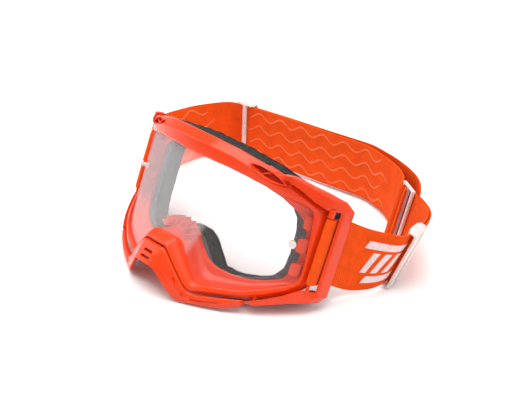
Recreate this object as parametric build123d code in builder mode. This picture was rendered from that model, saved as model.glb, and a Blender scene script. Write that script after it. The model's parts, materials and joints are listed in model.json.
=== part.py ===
from build123d import *
from math import asin, cos, degrees, radians, sin, sqrt
import os

# Off-road motorcycle goggles, leaning back on a table with the elastic strap standing behind them.
# The row frame stands on the table: +X is the wearer's left, +Y runs back towards the head, +Z is up.
# The goggles themselves are drawn upright in the tilted plane `head`: x across, y back, z up the face.

# ---- Driving dimensions, in millimetres and degrees ----
frame_width = 173.6  # over the frame's sides, without the outriggers
brow_height = 52.3  # from the lens's centre line up to the frame's top edge
cheek_drop = 48.9  # from the lens's centre line down to the frame's lowest edge
wrap_depth = 46.0  # how far the lens curves back by the frame's sides
frame_depth = 16.0  # from the lens back to the face flange
pitch = 21.0  # how far the goggles lean back on the table

lip_reach = 3.5  # the rim stands this far ahead of the lens
rim_depth = 4.0  # rim behind the lens's front face
skirt_wall = 2.2
flange_wall = 2.4
side_inset = 4.2  # the skirt's sides stand inside the rim's
window_size = (3.6, 9.0)  # the windows in the sides of the face flange
fan_radius = 12.5  # radiating slots over the nose
lens_thickness = 1.0
lens_lip = 2.2  # how far the lens reaches into the rim
lens_clearance = 0.15

guard_wall = 3.0
guard_gap = 0.3
guard_peg_radius = 1.2
guard_peg_length = 3.2
peg_clearance = 0.1

foam_base_thickness = 4.0
foam_core_thickness = 10.0
foam_face_thickness = 3.0
vent_foam_thickness = 2.0
foam_gap = 0.05

strap_width = 45.0
strap_thickness = 1.6
strap_height = 4.0  # the strap's middle above the lens's centre line, where it meets the outriggers
strap_tail = 14.0  # sewn tail behind the strap bar
strap_bar_radius = 1.1
loop_wall = 1.2
loop_clearance = 0.1
loop_gap = 0.35  # from the frame's side to the strap loop, and from there to the outer bar
fold_clearance = 0.2

outer_bar_thickness = 2.2
outer_bar_width = 11.5
arm_lead = 4.5  # the arms' outer face stands this far ahead of the lens's surface
arm_depth = 7.0
arm_gap = 0.5
hinge_peg_radius = 1.2
hinge_peg_length = 3.0
hinge_clearance = 0.08
hinge_end_gap = 0.2

post_radius = 1.5
post_head_radius = 2.4
post_head_length = 2.0
post_stem_length = 2.2
post_base_length = 0.8

slider_width = 17.0  # along the strap
slider_bar_width = 3.4
slider_bar_thickness = 2.0
slider_cap = 2.2
slider_clearance = 0.4
ring_bar_radius = 1.7

# ---- What follows from them ----
half = frame_width / 2
lens_radius = (half**2 + wrap_depth**2) / (2 * wrap_depth)
reach = 2 * (half + wrap_depth)  # longer than anything that is cut with it
lean_sin, lean_cos = sin(radians(pitch)), cos(radians(pitch))

# The back corners of the guard's wing tips carry the front of the goggles.
guard_back = guard_wall - lip_reach  # y of the guard's back face at the middle
wing_tip_x = 24.8
wing_tip_drop = cheek_drop + 8.6
wing_tip_lead = 5.2
wing_tip_back = lens_radius - sqrt((lens_radius - guard_back) ** 2 - wing_tip_x**2)
head_x = 6.56
head_y = -77.7
head_z = wing_tip_drop * lean_cos + wing_tip_back * lean_sin
head = Plane(origin=(head_x, head_y, head_z), x_dir=(1, 0, 0), z_dir=(0, lean_sin, lean_cos))
front = Plane(origin=head.origin, x_dir=(1, 0, 0), z_dir=-head.y_dir)
middle = Plane(origin=head.origin, x_dir=head.y_dir, z_dir=(1, 0, 0))


# ---- Outlines on the front plane: x to the side, z up, for the wearer's left half ----
def outline_points(shares):
    """Points from shares of the half width and of the brow's height or the cheek's drop."""
    return [(x * half, z * (brow_height if z > 0 else cheek_drop)) for x, z in shares]


rim_outline = outline_points(
    [
        (0.18, 0.99),
        (0.475, 0.935),
        (0.68, 0.87),
        (0.79, 0.775),
        (0.885, 0.71),
        (0.985, 0.58),
        (1.0, 0.40),
        (1.0, -0.36),
        (0.985, -0.44),
        (0.92, -0.59),
        (0.79, -0.76),
        (0.69, -0.84),
        (0.46, -0.97),
        (0.34, -1.0),
        (0.108, -0.542),
    ]
)
lens_opening = outline_points(
    [
        (0.36, 0.73),
        (0.54, 0.695),
        (0.70, 0.64),
        (0.85, 0.595),
        (0.925, 0.52),
        (0.955, -0.10),
        (0.96, -0.35),
        (0.90, -0.50),
        (0.80, -0.61),
        (0.68, -0.73),
        (0.53, -0.80),
        (0.37, -0.86),
        (0.31, -0.82),
        (0.13, -0.402),
    ]
)
skirt_outline = outline_points(
    [
        (0.18, 0.955),
        (0.475, 0.895),
        (0.68, 0.79),
        (0.85, 0.68),
        (1 - side_inset / half, 0.50),
        (1 - side_inset / half, -0.40),
        (0.89, -0.57),
        (0.68, -0.78),
        (0.46, -0.92),
        (0.35, -0.94),
        (0.12, -0.50),
    ]
)
flange_opening = outline_points(
    [
        (0.20, 0.66),
        (0.50, 0.62),
        (0.70, 0.52),
        (0.82, 0.33),
        (0.85, 0.08),
        (0.85, -0.14),
        (0.80, -0.46),
        (0.64, -0.61),
        (0.47, -0.65),
        (0.31, -0.61),
        (0.19, -0.44),
        (0.10, -0.28),
    ]
)
foam_outline = outline_points(
    [
        (0.18, 0.95),
        (0.46, 0.89),
        (0.67, 0.785),
        (0.83, 0.67),
        (0.93, 0.48),
        (0.93, -0.38),
        (0.87, -0.55),
        (0.68, -0.735),
        (0.46, -0.83),
        (0.33, -0.85),
        (0.13, -0.46),
    ]
)
foam_opening = outline_points(
    [
        (0.22, 0.655),
        (0.48, 0.60),
        (0.62, 0.47),
        (0.69, 0.26),
        (0.71, 0.0),
        (0.70, -0.25),
        (0.62, -0.47),
        (0.48, -0.56),
        (0.31, -0.60),
        (0.21, -0.43),
        (0.11, -0.22),
    ]
)


def both_halves(points):
    """The closed outline, with the wearer's right half mirrored from the left."""
    return points + [(-x, z) for x, z in reversed(points)]


def outline_face(points, corner, grow=0.0):
    """A face on the front plane with rounded corners, grown or shrunk all round."""
    with BuildSketch(front) as face:
        with BuildLine():
            FilletPolyline(*both_halves(points), radius=corner, close=True)
        make_face()
        if grow:
            offset(amount=grow, kind=Kind.ARC)
    return face.sketch


def behind(x, radius, centre_y):
    """How far back a surface of this radius lies at x, if it crosses the middle at centre_y."""
    return centre_y + radius - sqrt(radius**2 - x**2)


def wrap_face(front_edge, back_edge):
    """A plan-view face between two arcs round the face, each (radius, y at the middle, half width)."""
    (front_radius, front_y, front_x), (back_radius, back_y, back_x) = front_edge, back_edge
    front_side = behind(front_x, front_radius, front_y)
    back_side = behind(back_x, back_radius, back_y)
    with BuildSketch(head) as face:
        with BuildLine():
            ThreePointArc((-front_x, front_side), (0, front_y), (front_x, front_side))
            Line((front_x, front_side), (back_x, back_side))
            ThreePointArc((back_x, back_side), (0, back_y), (-back_x, back_side))
            Line((-back_x, back_side), (-front_x, front_side))
        make_face()
    return face.sketch


def shell_face(front_y, back_y, reach_x=half + 1):
    """A plan-view face concentric with the lens, out to reach_x."""
    return wrap_face(*[(lens_radius - y, y, reach_x) for y in (front_y, back_y)])


def step_back_face(front_y, back_y):
    """A plan-view face of one depth all round, as far as the lens's curve allows."""
    widest = 0.985 * min(half, lens_radius)
    return wrap_face((lens_radius, front_y, widest), (lens_radius, back_y, widest))


# ---- The nose: a faceted ridge that the frame's bridge and the guard share ----
nose_sections = [  # z as a share of the cheek's drop, then half width and y of the ridge and of its foot
    (-0.30, 12.8, 0.0, 35.0, 4.0),
    (-0.402, 11.4, -5.1, 32.0, 2.6),
    (-0.542, 9.4, -11.8, 31.0, 0.0),
    (-0.84, 8.3, -18.4, 30.0, -1.5),
    (-1.0, 8.0, -20.5, 29.6, -4.0),
    (-1.22, 7.5, -24.0, wing_tip_x, -wing_tip_lead),
]
nose_back = 5.0


def nose_ridge(setback):
    """The nose's solid form, moved back and narrowed by setback."""
    with BuildPart() as ridge:
        for z, ridge_x, ridge_y, foot_x, foot_y in nose_sections:
            with BuildSketch(head.offset(z * cheek_drop)):
                with BuildLine():
                    Polyline(
                        (setback - foot_x, nose_back + setback),
                        (setback - foot_x, foot_y + setback),
                        (0.4 * setback - ridge_x, ridge_y + setback),
                        (ridge_x - 0.4 * setback, ridge_y + setback),
                        (foot_x - setback, foot_y + setback),
                        (foot_x - setback, nose_back + setback),
                        close=True,
                    )
                make_face()
        loft(ruled=True)
    return ridge.part


# ---- Frame ----
def ring_between(outline, back_edge, grow=0.0, corner=3.0):
    """A solid of the outline's shape, as deep as the plan-view face back_edge."""
    with BuildPart() as ring:
        extrude(to_extrude=outline_face(outline, corner, grow=grow), amount=reach, both=True)
        extrude(to_extrude=back_edge, amount=reach, both=True, mode=Mode.INTERSECT)
    return ring.part


def mirrored(part):
    return part.mirror(middle)


def box_at(x, y, z, size):
    """A box in the goggles' own axes, centred on a point."""
    with BuildPart(head) as box:
        with Locations((x, y, z)):
            Box(*size)
    return box.part


def fan_slot(x, z, angle):
    """One radiating slot through the face flange over the nose."""
    with BuildPart() as slot:
        with BuildSketch(front):
            with Locations((x, z)):
                Rectangle(5.0, 1.0, rotation=angle)
        extrude(amount=reach, both=True)
        extrude(to_extrude=step_back_face(frame_depth - 4, frame_depth + 1), amount=reach, both=True,
                mode=Mode.INTERSECT)
    return slot.part


guard_pegs = [(sign * x * half, -z * cheek_drop) for sign in (-1, 1) for x, z in ((0.42, 1.02), (0.60, 0.95))]
seat_front = guard_back + guard_gap
nose_slots = 7

# Each outrigger swings on two pegs, one above and one below the frame.
hinge_x = 0.766 * half
hinge_y = behind(hinge_x, lens_radius, 0)
hinge_top = 0.797 * brow_height
hinge_bottom = -0.779 * cheek_drop

# The strap loops hang on a bar just outside the frame's side.
loop_radius = strap_bar_radius + loop_clearance + loop_wall
bar_x = half + loop_gap + loop_radius
bar_y = behind(bar_x, lens_radius + arm_lead, -arm_lead) + strap_bar_radius + 0.6
outer_bar_x = bar_x + loop_radius + loop_gap

post_x = 0.87 * half
post_z = strap_height
post_y = behind(post_x, lens_radius, 0)
post_turn = degrees(asin(post_x / lens_radius))

with BuildPart() as frame:
    # the front rim, with its ridge over the nose
    extrude(to_extrude=shell_face(-lip_reach, rim_depth), amount=reach, both=True)
    add(nose_ridge(0.0))
    extrude(to_extrude=outline_face(rim_outline, 3.0), amount=reach, both=True, mode=Mode.INTERSECT)
    extrude(to_extrude=outline_face(lens_opening, 4.0), amount=reach, both=True, mode=Mode.SUBTRACT)
    add(
        ring_between(lens_opening, shell_face(-lens_clearance, lens_thickness + lens_clearance),
                     grow=lens_lip + lens_clearance),
        mode=Mode.SUBTRACT,
    )

with BuildPart() as skirt:
    add(ring_between(skirt_outline, step_back_face(2.2, frame_depth)))
    add(ring_between(skirt_outline, step_back_face(2.2, frame_depth), grow=-skirt_wall), mode=Mode.SUBTRACT)
    add(ring_between(skirt_outline, step_back_face(frame_depth - flange_wall, frame_depth)))
    extrude(to_extrude=outline_face(flange_opening, 5.0), amount=reach, both=True, mode=Mode.SUBTRACT)
    # windows in the sides of the face flange
    window_x = (0.85 * half + half - side_inset - skirt_wall) / 2
    window_y = behind(window_x, lens_radius, frame_depth)
    for sign in (-1, 1):
        for z in (-0.27 * cheek_drop, 0.09 * brow_height, 0.37 * brow_height):
            window = box_at(sign * window_x, window_y, z, (window_size[0], 4 * flange_wall, window_size[1]))
            add(window, mode=Mode.SUBTRACT)
    # vents through the skirt's top and bottom walls
    for x in (-0.44, -0.22, 0.0, 0.22, 0.44):
        vent_y = behind(x * half, lens_radius, 0) + 0.6 * frame_depth
        vent = box_at(x * half, vent_y, 0.9 * brow_height, (10.0, 4.5, 0.4 * brow_height))
        add(vent, mode=Mode.SUBTRACT)
    for x in (-0.50, 0.50):
        vent_y = behind(x * half, lens_radius, 0) + 0.6 * frame_depth
        vent = box_at(x * half, vent_y, -0.92 * cheek_drop, (10.0, 4.5, 0.3 * cheek_drop))
        add(vent, mode=Mode.SUBTRACT)
    # the fan of slots over the nose
    for step in range(nose_slots):
        angle = 30 + step * 120 / (nose_slots - 1)
        slot_x = fan_radius * cos(radians(angle))
        slot_z = -0.45 * cheek_drop + fan_radius * sin(radians(angle))
        add(fan_slot(slot_x, slot_z, angle), mode=Mode.SUBTRACT)

guard_outline = [(x, z - guard_gap) for x, z in reversed(rim_outline[-4:])] + [
    (0.725 * half, -0.92 * cheek_drop),
    (0.64 * half, -1.03 * cheek_drop),
    (nose_sections[-1][3], -wing_tip_drop),
    (nose_sections[3][1], -0.84 * cheek_drop),
]
guard_clear = ring_between(guard_outline, shell_face(-lip_reach - 30, seat_front), grow=guard_gap, corner=0.6)


def bar_along(axis, x, y, z, radius, length):
    """A round bar starting at a point in the goggles' axes and running along one of them."""
    start = head.from_local_coords((x, y, z))
    with BuildPart(Plane(origin=start, z_dir=axis)) as bar:
        Cylinder(radius, length, align=(Align.CENTER, Align.CENTER, Align.MIN))
    return bar.part


with frame:
    add(skirt.part)
    # lugs behind the guard's wings, drilled for its pegs
    for x, z in guard_pegs:
        lug_y = behind(x, lens_radius - seat_front, seat_front)
        add(box_at(x, lug_y + 3.6, z + 1.6, (7.0, 5.0, 6.4)))
    add(guard_clear, mode=Mode.SUBTRACT)
    for x, z in guard_pegs:
        lug_y = behind(x, lens_radius - guard_back, guard_back)
        hole = bar_along(head.y_dir, x, lug_y - 2, z, guard_peg_radius + peg_clearance, guard_peg_length + 3)
        add(hole, mode=Mode.SUBTRACT)
    # blind sockets for the outriggers' pegs
    for sign in (-1, 1):
        for z, way in ((hinge_top + 6, -1), (hinge_bottom - 6, 1)):
            depth = 6 + hinge_peg_length + hinge_end_gap
            socket = bar_along(head.z_dir * way, sign * hinge_x, hinge_y, z, hinge_peg_radius + hinge_clearance,
                               depth)
            add(socket, mode=Mode.SUBTRACT)
frame.part.label = "frame"

# ---- Lens and the studs that hold tear-off films ----
post_planes = []
for sign in (-1, 1):
    post_origin = head.from_local_coords((sign * post_x, post_y, post_z))
    centre = head.from_local_coords((0, lens_radius, post_z))
    post_planes.append(Plane(origin=post_origin, z_dir=(post_origin - centre)))

with BuildPart() as lens:
    extrude(to_extrude=outline_face(lens_opening, 4.0, grow=lens_lip), amount=reach, both=True)
    extrude(to_extrude=shell_face(0, lens_thickness), amount=reach, both=True, mode=Mode.INTERSECT)
    for plane in post_planes:
        with BuildSketch(plane):
            Circle(post_radius + 0.1)
        extrude(amount=3 * lens_thickness, both=True, mode=Mode.SUBTRACT)
lens.part.label = "lens"

posts = []
for name, plane in zip(("tear_off_post_right", "tear_off_post_left"), post_planes):
    with BuildPart() as post:
        with BuildSketch(plane.offset(-lens_thickness - 0.1)):
            Circle(post_head_radius)
        extrude(amount=-post_base_length)
        with BuildSketch(plane.offset(-lens_thickness - 0.1)):
            Circle(post_radius)
        extrude(amount=lens_thickness + 0.1 + post_stem_length)
        with BuildSketch(plane.offset(post_stem_length)):
            Circle(post_head_radius)
        extrude(amount=post_head_length)
    post.part.label = name
    posts.append(post)

# ---- Nose guard ----
with BuildPart() as nose_guard:
    extrude(to_extrude=shell_face(-lip_reach, guard_back), amount=reach, both=True)
    add(nose_ridge(0.0))
    add(nose_ridge(guard_wall), mode=Mode.SUBTRACT)
    extrude(to_extrude=outline_face(guard_outline, 0.6), amount=reach, both=True, mode=Mode.INTERSECT)
    # two slots low on the nose
    for z in (0.70, 0.79):
        slot = box_at(0, nose_sections[3][2], -z * cheek_drop, (8.0, 12.0, 1.6))
        add(slot, mode=Mode.SUBTRACT)
    for x, z in guard_pegs:
        peg_y = behind(x, lens_radius - guard_back, guard_back)
        add(bar_along(head.y_dir, x, peg_y - 0.6, z, guard_peg_radius, guard_peg_length + 0.6))
nose_guard.part.label = "nose_guard"

# ---- Face foam, in three layers glued one behind the other ----
foam_layers = []
layer_front = frame_depth + foam_gap
for name, thickness, inset in (
    ("foam_base", foam_base_thickness, 0.6),
    ("foam_core", foam_core_thickness, 0.0),
    ("foam_face", foam_face_thickness, 0.3),
):
    with BuildPart() as layer:
        add(ring_between(foam_outline, step_back_face(layer_front, layer_front + thickness), grow=-inset))
        extrude(to_extrude=outline_face(foam_opening, 4.0, grow=inset), amount=reach, both=True, mode=Mode.SUBTRACT)
    layer.part.label = name
    foam_layers.append(layer)
    layer_front += thickness + foam_gap

# ---- Vent foam over the slots in the skirt ----
with BuildPart() as vent_skin:
    strip_face = step_back_face(0.28 * frame_depth, 0.86 * frame_depth)
    add(ring_between(skirt_outline, strip_face, grow=vent_foam_thickness + foam_gap))
    add(ring_between(skirt_outline, strip_face, grow=foam_gap), mode=Mode.SUBTRACT)
vent_foams = []
for name, x, z, width in (
    ("vent_foam_top", 0.0, 0.9 * brow_height, 1.06 * half),
    ("vent_foam_bottom_left", 0.50 * half, -0.95 * cheek_drop, 0.20 * half),
    ("vent_foam_bottom_right", -0.50 * half, -0.95 * cheek_drop, 0.20 * half),
):
    with BuildPart() as strip:
        add(vent_skin.part)
        add(box_at(x, 0, z, (width, reach, 0.6 * cheek_drop)), mode=Mode.INTERSECT)
        add(frame.part, mode=Mode.SUBTRACT)
    strip.part.label = name
    vent_foams.append(strip)

# ---- Outriggers: one side is drawn and the other mirrored ----
rim_left = outline_points([(0.79, 0.775), (0.885, 0.71), (0.985, 0.58)])
rim_low = outline_points([(0.985, -0.44), (0.92, -0.59), (0.79, -0.76)])
slot_top = 0.606 * brow_height
slot_bottom = -0.47 * cheek_drop
tip_x = outer_bar_x + outer_bar_thickness
arm_outline = [
    (hinge_x - 3.4, hinge_top + 2.3),
    (hinge_x - 2.0, hinge_top + 4.6),
    (0.86 * half, hinge_top + 2.4),
    (tip_x - 4.0, 0.735 * brow_height),
    (tip_x, 0.65 * brow_height),
    (tip_x, -0.53 * cheek_drop),
    (tip_x - 3.0, -0.60 * cheek_drop),
    (0.965 * half, -0.70 * cheek_drop),
    (hinge_x + 1.5, hinge_bottom - 4.4),
    (hinge_x - 3.4, hinge_bottom - 4.4),
    (hinge_x - 3.4, hinge_bottom - 2.4),
    (rim_low[2][0] + arm_gap, rim_low[2][1] - arm_gap),
    (rim_low[1][0] + arm_gap, rim_low[1][1] - arm_gap),
    (rim_low[0][0] + 1.5 * arm_gap, slot_bottom),
    (outer_bar_x, slot_bottom),
    (outer_bar_x, slot_top),
    (rim_left[2][0] + 1.5 * arm_gap, slot_top),
    (rim_left[1][0] + arm_gap, rim_left[1][1] + arm_gap),
    (rim_left[0][0] + arm_gap, rim_left[0][1] + arm_gap),
]
outer_y = behind(tip_x, lens_radius + arm_lead, -arm_lead)
with BuildPart() as outrigger_left:
    with BuildSketch(front):
        with BuildLine():
            Polyline(*arm_outline, close=True)
        make_face()
    extrude(amount=reach, both=True)
    with BuildPart(mode=Mode.INTERSECT):
        extrude(to_extrude=shell_face(-arm_lead, arm_depth - arm_lead, outer_bar_x + 0.4), amount=reach, both=True)
        with BuildSketch(head):
            with BuildLine():
                Polyline(
                    (outer_bar_x, outer_y - 1.0),
                    (tip_x, outer_y + 1.0),
                    (tip_x, outer_y + outer_bar_width - 1),
                    (tip_x - 1, outer_y + outer_bar_width),
                    (outer_bar_x, outer_y + outer_bar_width),
                    close=True,
                )
            make_face()
        extrude(amount=reach, both=True)
    # the bar the strap hangs on
    bar_length = slot_top - slot_bottom + 4
    add(bar_along(head.z_dir, bar_x, bar_y, slot_bottom - 2, strap_bar_radius, bar_length))
    add(bar_along(-head.z_dir, hinge_x, hinge_y, hinge_top + 2, hinge_peg_radius, hinge_peg_length + 2))
    add(bar_along(head.z_dir, hinge_x, hinge_y, hinge_bottom - 2.6, hinge_peg_radius, hinge_peg_length + 2.6))
outrigger_left.part.label = "outrigger_left"
outrigger_right = mirrored(outrigger_left.part)
outrigger_right.label = "outrigger_right"

with BuildPart() as strap_loop_left:
    with BuildSketch(head.offset(strap_height - strap_width / 2)):
        with Locations((bar_x, bar_y)):
            Circle(loop_radius)
        with Locations((bar_x, bar_y + strap_tail / 2)):
            Rectangle(2 * loop_wall, strap_tail)
        with Locations((bar_x, bar_y)):
            Circle(strap_bar_radius + loop_clearance, mode=Mode.SUBTRACT)
    extrude(amount=strap_width)
strap_loop_left.part.label = "strap_loop_left"
strap_loop_right = mirrored(strap_loop_left.part)
strap_loop_right.label = "strap_loop_right"

# ---- Strap: each length is a ribbon through upright or leaning stops on the table ----
# A stop is x, y, the height of the ribbon's lower edge, how far the ribbon leans and which way.
start_y = bar_y + strap_tail + foam_gap
loop_end = head.from_local_coords((bar_x, start_y, strap_height))
loop_end_right = head.from_local_coords((-bar_x, start_y, strap_height))
start_rise = loop_end.Z - strap_width / 2 * lean_cos
cap_rise = slider_cap + slider_clearance


def stop_width(lean, compass):
    side = sin(radians(lean))
    return Vector(side * cos(radians(compass)), side * sin(radians(compass)), cos(radians(lean)))


def stop_centre(x, y, rise, lean, compass):
    return Vector(x, y, rise + strap_width / 2 * cos(radians(lean)))


def ribbon(stops, shifts=None):
    """A flat band of webbing through the stops, each moved sideways by its shift."""
    centres = [stop_centre(*stop) for stop in stops]
    with BuildPart() as band:
        for i, stop in enumerate(stops):
            travel = centres[min(i + 1, len(stops) - 1)] - centres[max(i - 1, 0)]
            width = stop_width(*stop[3:])
            side = travel.cross(width).normalized()
            centre = centres[i] + side * (shifts[i] if shifts else 0)
            with BuildSketch(Plane(origin=centre, x_dir=width, z_dir=width.cross(side))):
                Rectangle(strap_width, strap_thickness)
        loft(ruled=True)
    return band.part


def along(start, heading, distance):
    return (start[0] + distance * cos(radians(heading)), start[1] + distance * sin(radians(heading)))


# The ring leans outwards; the far and near straps fold round two of its bars, and the third stands free.
ring_heading = -30.0
ring_lean = (12, ring_heading + 90)
ring_rise = cap_rise + 0.7
ring_pitch = 7.8  # from one bar to the next
ring_bars = [(head_x + 64.8, head_y + 149.2)]
for _ in range(2):
    ring_bars.append(along(ring_bars[-1], ring_heading, ring_pitch))
fold_radius = ring_bar_radius + fold_clearance + strap_thickness / 2
fold_tail = 2.0


def beside_bar(bar, ahead, outside):
    """A stop near a ring bar: ahead along the ring's heading, and outside it."""
    x, y = along(bar, ring_heading, ahead)
    x, y = along((x, y), ring_heading + 90, outside * cos(radians(ring_lean[0])))
    return (x, y, ring_rise - outside * sin(radians(ring_lean[0])), *ring_lean)


def fold_stops(bar, first_angle):
    """Stops round half of a ring bar, with a short tail after them."""
    turns = [radians(first_angle + 45 * step) for step in range(5)]
    stops = [beside_bar(bar, fold_radius * cos(turn), fold_radius * sin(turn)) for turn in turns]
    stops.append(beside_bar(bar, -fold_tail * sin(turns[-1]), fold_radius * sin(turns[-1])))
    return stops


far_slider_heading = 11.0
far_slider = (head_x - 111.0, head_y + 163.4)
near_slider_heading = 103.0
near_slider = (head_x + 108.0, head_y + 104.3)
near_lean = (20.6, near_slider_heading - 90)
near_rise = cap_rise + 2.2


def seen(x, y, rise, lean=0, compass=0):
    """A stop placed from the middle of the lens."""
    return (head_x + x, head_y + y, rise, lean, compass)


far_stops = [
    (loop_end_right.X, loop_end_right.Y, start_rise, pitch, 90),
    (loop_end_right.X, loop_end_right.Y + 7 * lean_cos, start_rise - 7 * lean_sin, pitch, 90),
    seen(-94.5, 69, start_rise - 6, 18, 94),
    seen(-104, 75, start_rise - 8, 16, 96),
    seen(-119, 80, 6, 12, 100),
    seen(-131, 90, 5, 8, 110),
    seen(-135.5, 105, cap_rise + 1, 4, 90),
    seen(-134.5, 130, cap_rise, 0, 0),
    seen(-129.5, 150, cap_rise, 0, 0),
    (*along(far_slider, far_slider_heading, -14), cap_rise, 0, 0),
    (*along(far_slider, far_slider_heading, -11), cap_rise, 0, 0),
    (*along(far_slider, far_slider_heading, 46), cap_rise, 0, 0),
    seen(-26.5, 177, cap_rise, 0, 0),
    seen(7, 182.5, cap_rise, 0, 0),
    seen(29, 177, cap_rise, 0, 0),
    seen(41, 172, cap_rise, 3, 60),
    seen(52, 165, cap_rise, 7, 60),
    seen(58.6, 156.6, ring_rise, 10, 60),
    seen(60.9, 150.2, ring_rise, *ring_lean),
] + fold_stops(ring_bars[0], -90)

near_stops = [
    (loop_end.X, loop_end.Y, start_rise, pitch, 90),
    (loop_end.X, loop_end.Y + 4 * lean_cos, start_rise - 4 * lean_sin, pitch, 90),
    seen(93, 76, 4.5, 20, 80),
    seen(100.6, 82.5, cap_rise + 1, 18, 57),
    seen(107.2, 87.6, cap_rise + 1.6, 20, 40),
    (*along(near_slider, near_slider_heading, -13), near_rise, *near_lean),
    (*along(near_slider, near_slider_heading, 9), near_rise, *near_lean),
    (*along(near_slider, near_slider_heading, 9.5), near_rise, *near_lean),
    seen(102.4, 126.5, near_rise - 0.5, 18, 35),
    seen(94.5, 134.5, ring_rise + 0.4, 16, 50),
    seen(86.4, 139.7, ring_rise, *ring_lean),
    beside_bar(ring_bars[2], 3.0, fold_radius),
] + fold_stops(ring_bars[1], 90)

# The outer layer runs back from each slider, and its two lengths meet outside the ring's free bar.
return_gap = strap_thickness + 0.3
near_return_stops = [(*along(near_slider, near_slider_heading, -4), near_rise, *near_lean)]
near_return_stops += near_stops[6:11]
near_return_stops.append(beside_bar(ring_bars[2], 2.0, fold_radius + return_gap + 0.3))
near_return_shifts = [return_gap] * 4 + [2.1, 2.3, 0.0]
far_return_stops = [
    beside_bar(ring_bars[2], 2.0 - foam_gap, fold_radius + return_gap + 0.3),
    seen(78.8, 150.2, ring_rise, 11, 45),
    seen(71, 160.6, ring_rise, 9, 50),
    seen(62.8, 168.2, cap_rise + 0.4, 6, 60),
    seen(50.5, 175.5, cap_rise, 3, 70),
    seen(34, 182, cap_rise),
    seen(7.5, 186.5, cap_rise),
    seen(-26.5, 180.2, cap_rise),
]
straight_out = along((0, 0), far_slider_heading + 90, return_gap)
for distance in (40, -4):
    point = along(far_slider, far_slider_heading, distance)
    far_return_stops.append((point[0] + straight_out[0], point[1] + straight_out[1], cap_rise, 0, 0))

strap_right = ribbon(far_stops)
strap_right.label = "strap_right"
strap_left = ribbon(near_stops)
strap_left.label = "strap_left"
strap_right_return = ribbon(far_return_stops)
strap_right_return.label = "strap_right_return"
strap_left_return = ribbon(near_return_stops, near_return_shifts)
strap_left_return.label = "strap_left_return"


# ---- Sliders and the ring ----
def slider(centre, rise, heading, lean, bars):
    """A three-bar adjuster round the strap: the middle bar inside, the outer two outside."""
    width = stop_width(*lean)
    middle_point = stop_centre(*centre, rise, *lean)
    travel = Vector(cos(radians(heading)), sin(radians(heading)), 0)
    side = travel.cross(width).normalized()
    face = Plane(origin=middle_point, x_dir=width.cross(side), z_dir=side)
    inside, outside = bars
    span = strap_width + 2 * slider_clearance
    depth = inside + outside + 2 * slider_clearance + 2 * slider_bar_thickness
    with BuildPart(face) as body:
        shift = (outside - inside) / 2
        for end in (-1, 1):
            with Locations((0, end * (span + slider_cap) / 2, shift)):
                Box(slider_width, slider_cap, depth)
        inner = -inside - slider_clearance - slider_bar_thickness / 2
        outer = outside + slider_clearance + slider_bar_thickness / 2
        with Locations((0, 0, inner)):
            Box(slider_bar_width, span + slider_cap, slider_bar_thickness)
        for end in (-1, 1):
            with Locations((end * (slider_width - slider_bar_width) / 2, 0, outer)):
                Box(slider_bar_width, span + slider_cap, slider_bar_thickness)
    return body.part


strap_half = strap_thickness / 2
both_layers = (strap_half, strap_half + return_gap)
slider_right = slider(far_slider, cap_rise, far_slider_heading + 180, (0, 0), both_layers)
slider_right.label = "slider_right"
slider_left = slider(near_slider, near_rise, near_slider_heading, near_lean, both_layers)
slider_left.label = "slider_left"

ring_span = strap_width + 2 * slider_clearance
ring_middle = beside_bar(ring_bars[1], 0, 0)
ring_plane = Plane(
    origin=stop_centre(*ring_middle),
    x_dir=(cos(radians(ring_heading)), sin(radians(ring_heading)), 0),
    z_dir=stop_width(*ring_lean),
)
with BuildPart(ring_plane) as strap_ring:
    for end in (-1, 1):
        with Locations((0, 0, end * (ring_span + slider_cap) / 2)):
            Box(2 * ring_pitch + 4 * ring_bar_radius, 3 * ring_bar_radius, slider_cap)
    with GridLocations(ring_pitch, 1, 3, 1):
        Cylinder(ring_bar_radius, ring_span + slider_cap)
strap_ring.part.label = "strap_ring"

# ---- Output ----
os.makedirs("parts", exist_ok=True)
export_step(frame.part, "parts/frame.step")
export_step(lens.part, "parts/lens.step")
export_step(posts[0].part, "parts/tear_off_post_right.step")
export_step(posts[1].part, "parts/tear_off_post_left.step")
export_step(nose_guard.part, "parts/nose_guard.step")
export_step(foam_layers[0].part, "parts/foam_base.step")
export_step(foam_layers[1].part, "parts/foam_core.step")
export_step(foam_layers[2].part, "parts/foam_face.step")
export_step(vent_foams[0].part, "parts/vent_foam_top.step")
export_step(vent_foams[1].part, "parts/vent_foam_bottom_left.step")
export_step(vent_foams[2].part, "parts/vent_foam_bottom_right.step")
export_step(outrigger_left.part, "parts/outrigger_left.step")
export_step(outrigger_right, "parts/outrigger_right.step")
export_step(strap_loop_left.part, "parts/strap_loop_left.step")
export_step(strap_loop_right, "parts/strap_loop_right.step")
export_step(strap_left, "parts/strap_left.step")
export_step(strap_left_return, "parts/strap_left_return.step")
export_step(strap_right, "parts/strap_right.step")
export_step(strap_right_return, "parts/strap_right_return.step")
export_step(slider_left, "parts/slider_left.step")
export_step(slider_right, "parts/slider_right.step")
export_step(strap_ring.part, "parts/strap_ring.step")
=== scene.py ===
"""Off-road goggles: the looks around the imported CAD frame."""

import json
from math import cos, pi, radians, sin, sqrt

import bmesh
import bpy
import numpy as np
from mathutils import Matrix, Vector


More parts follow.
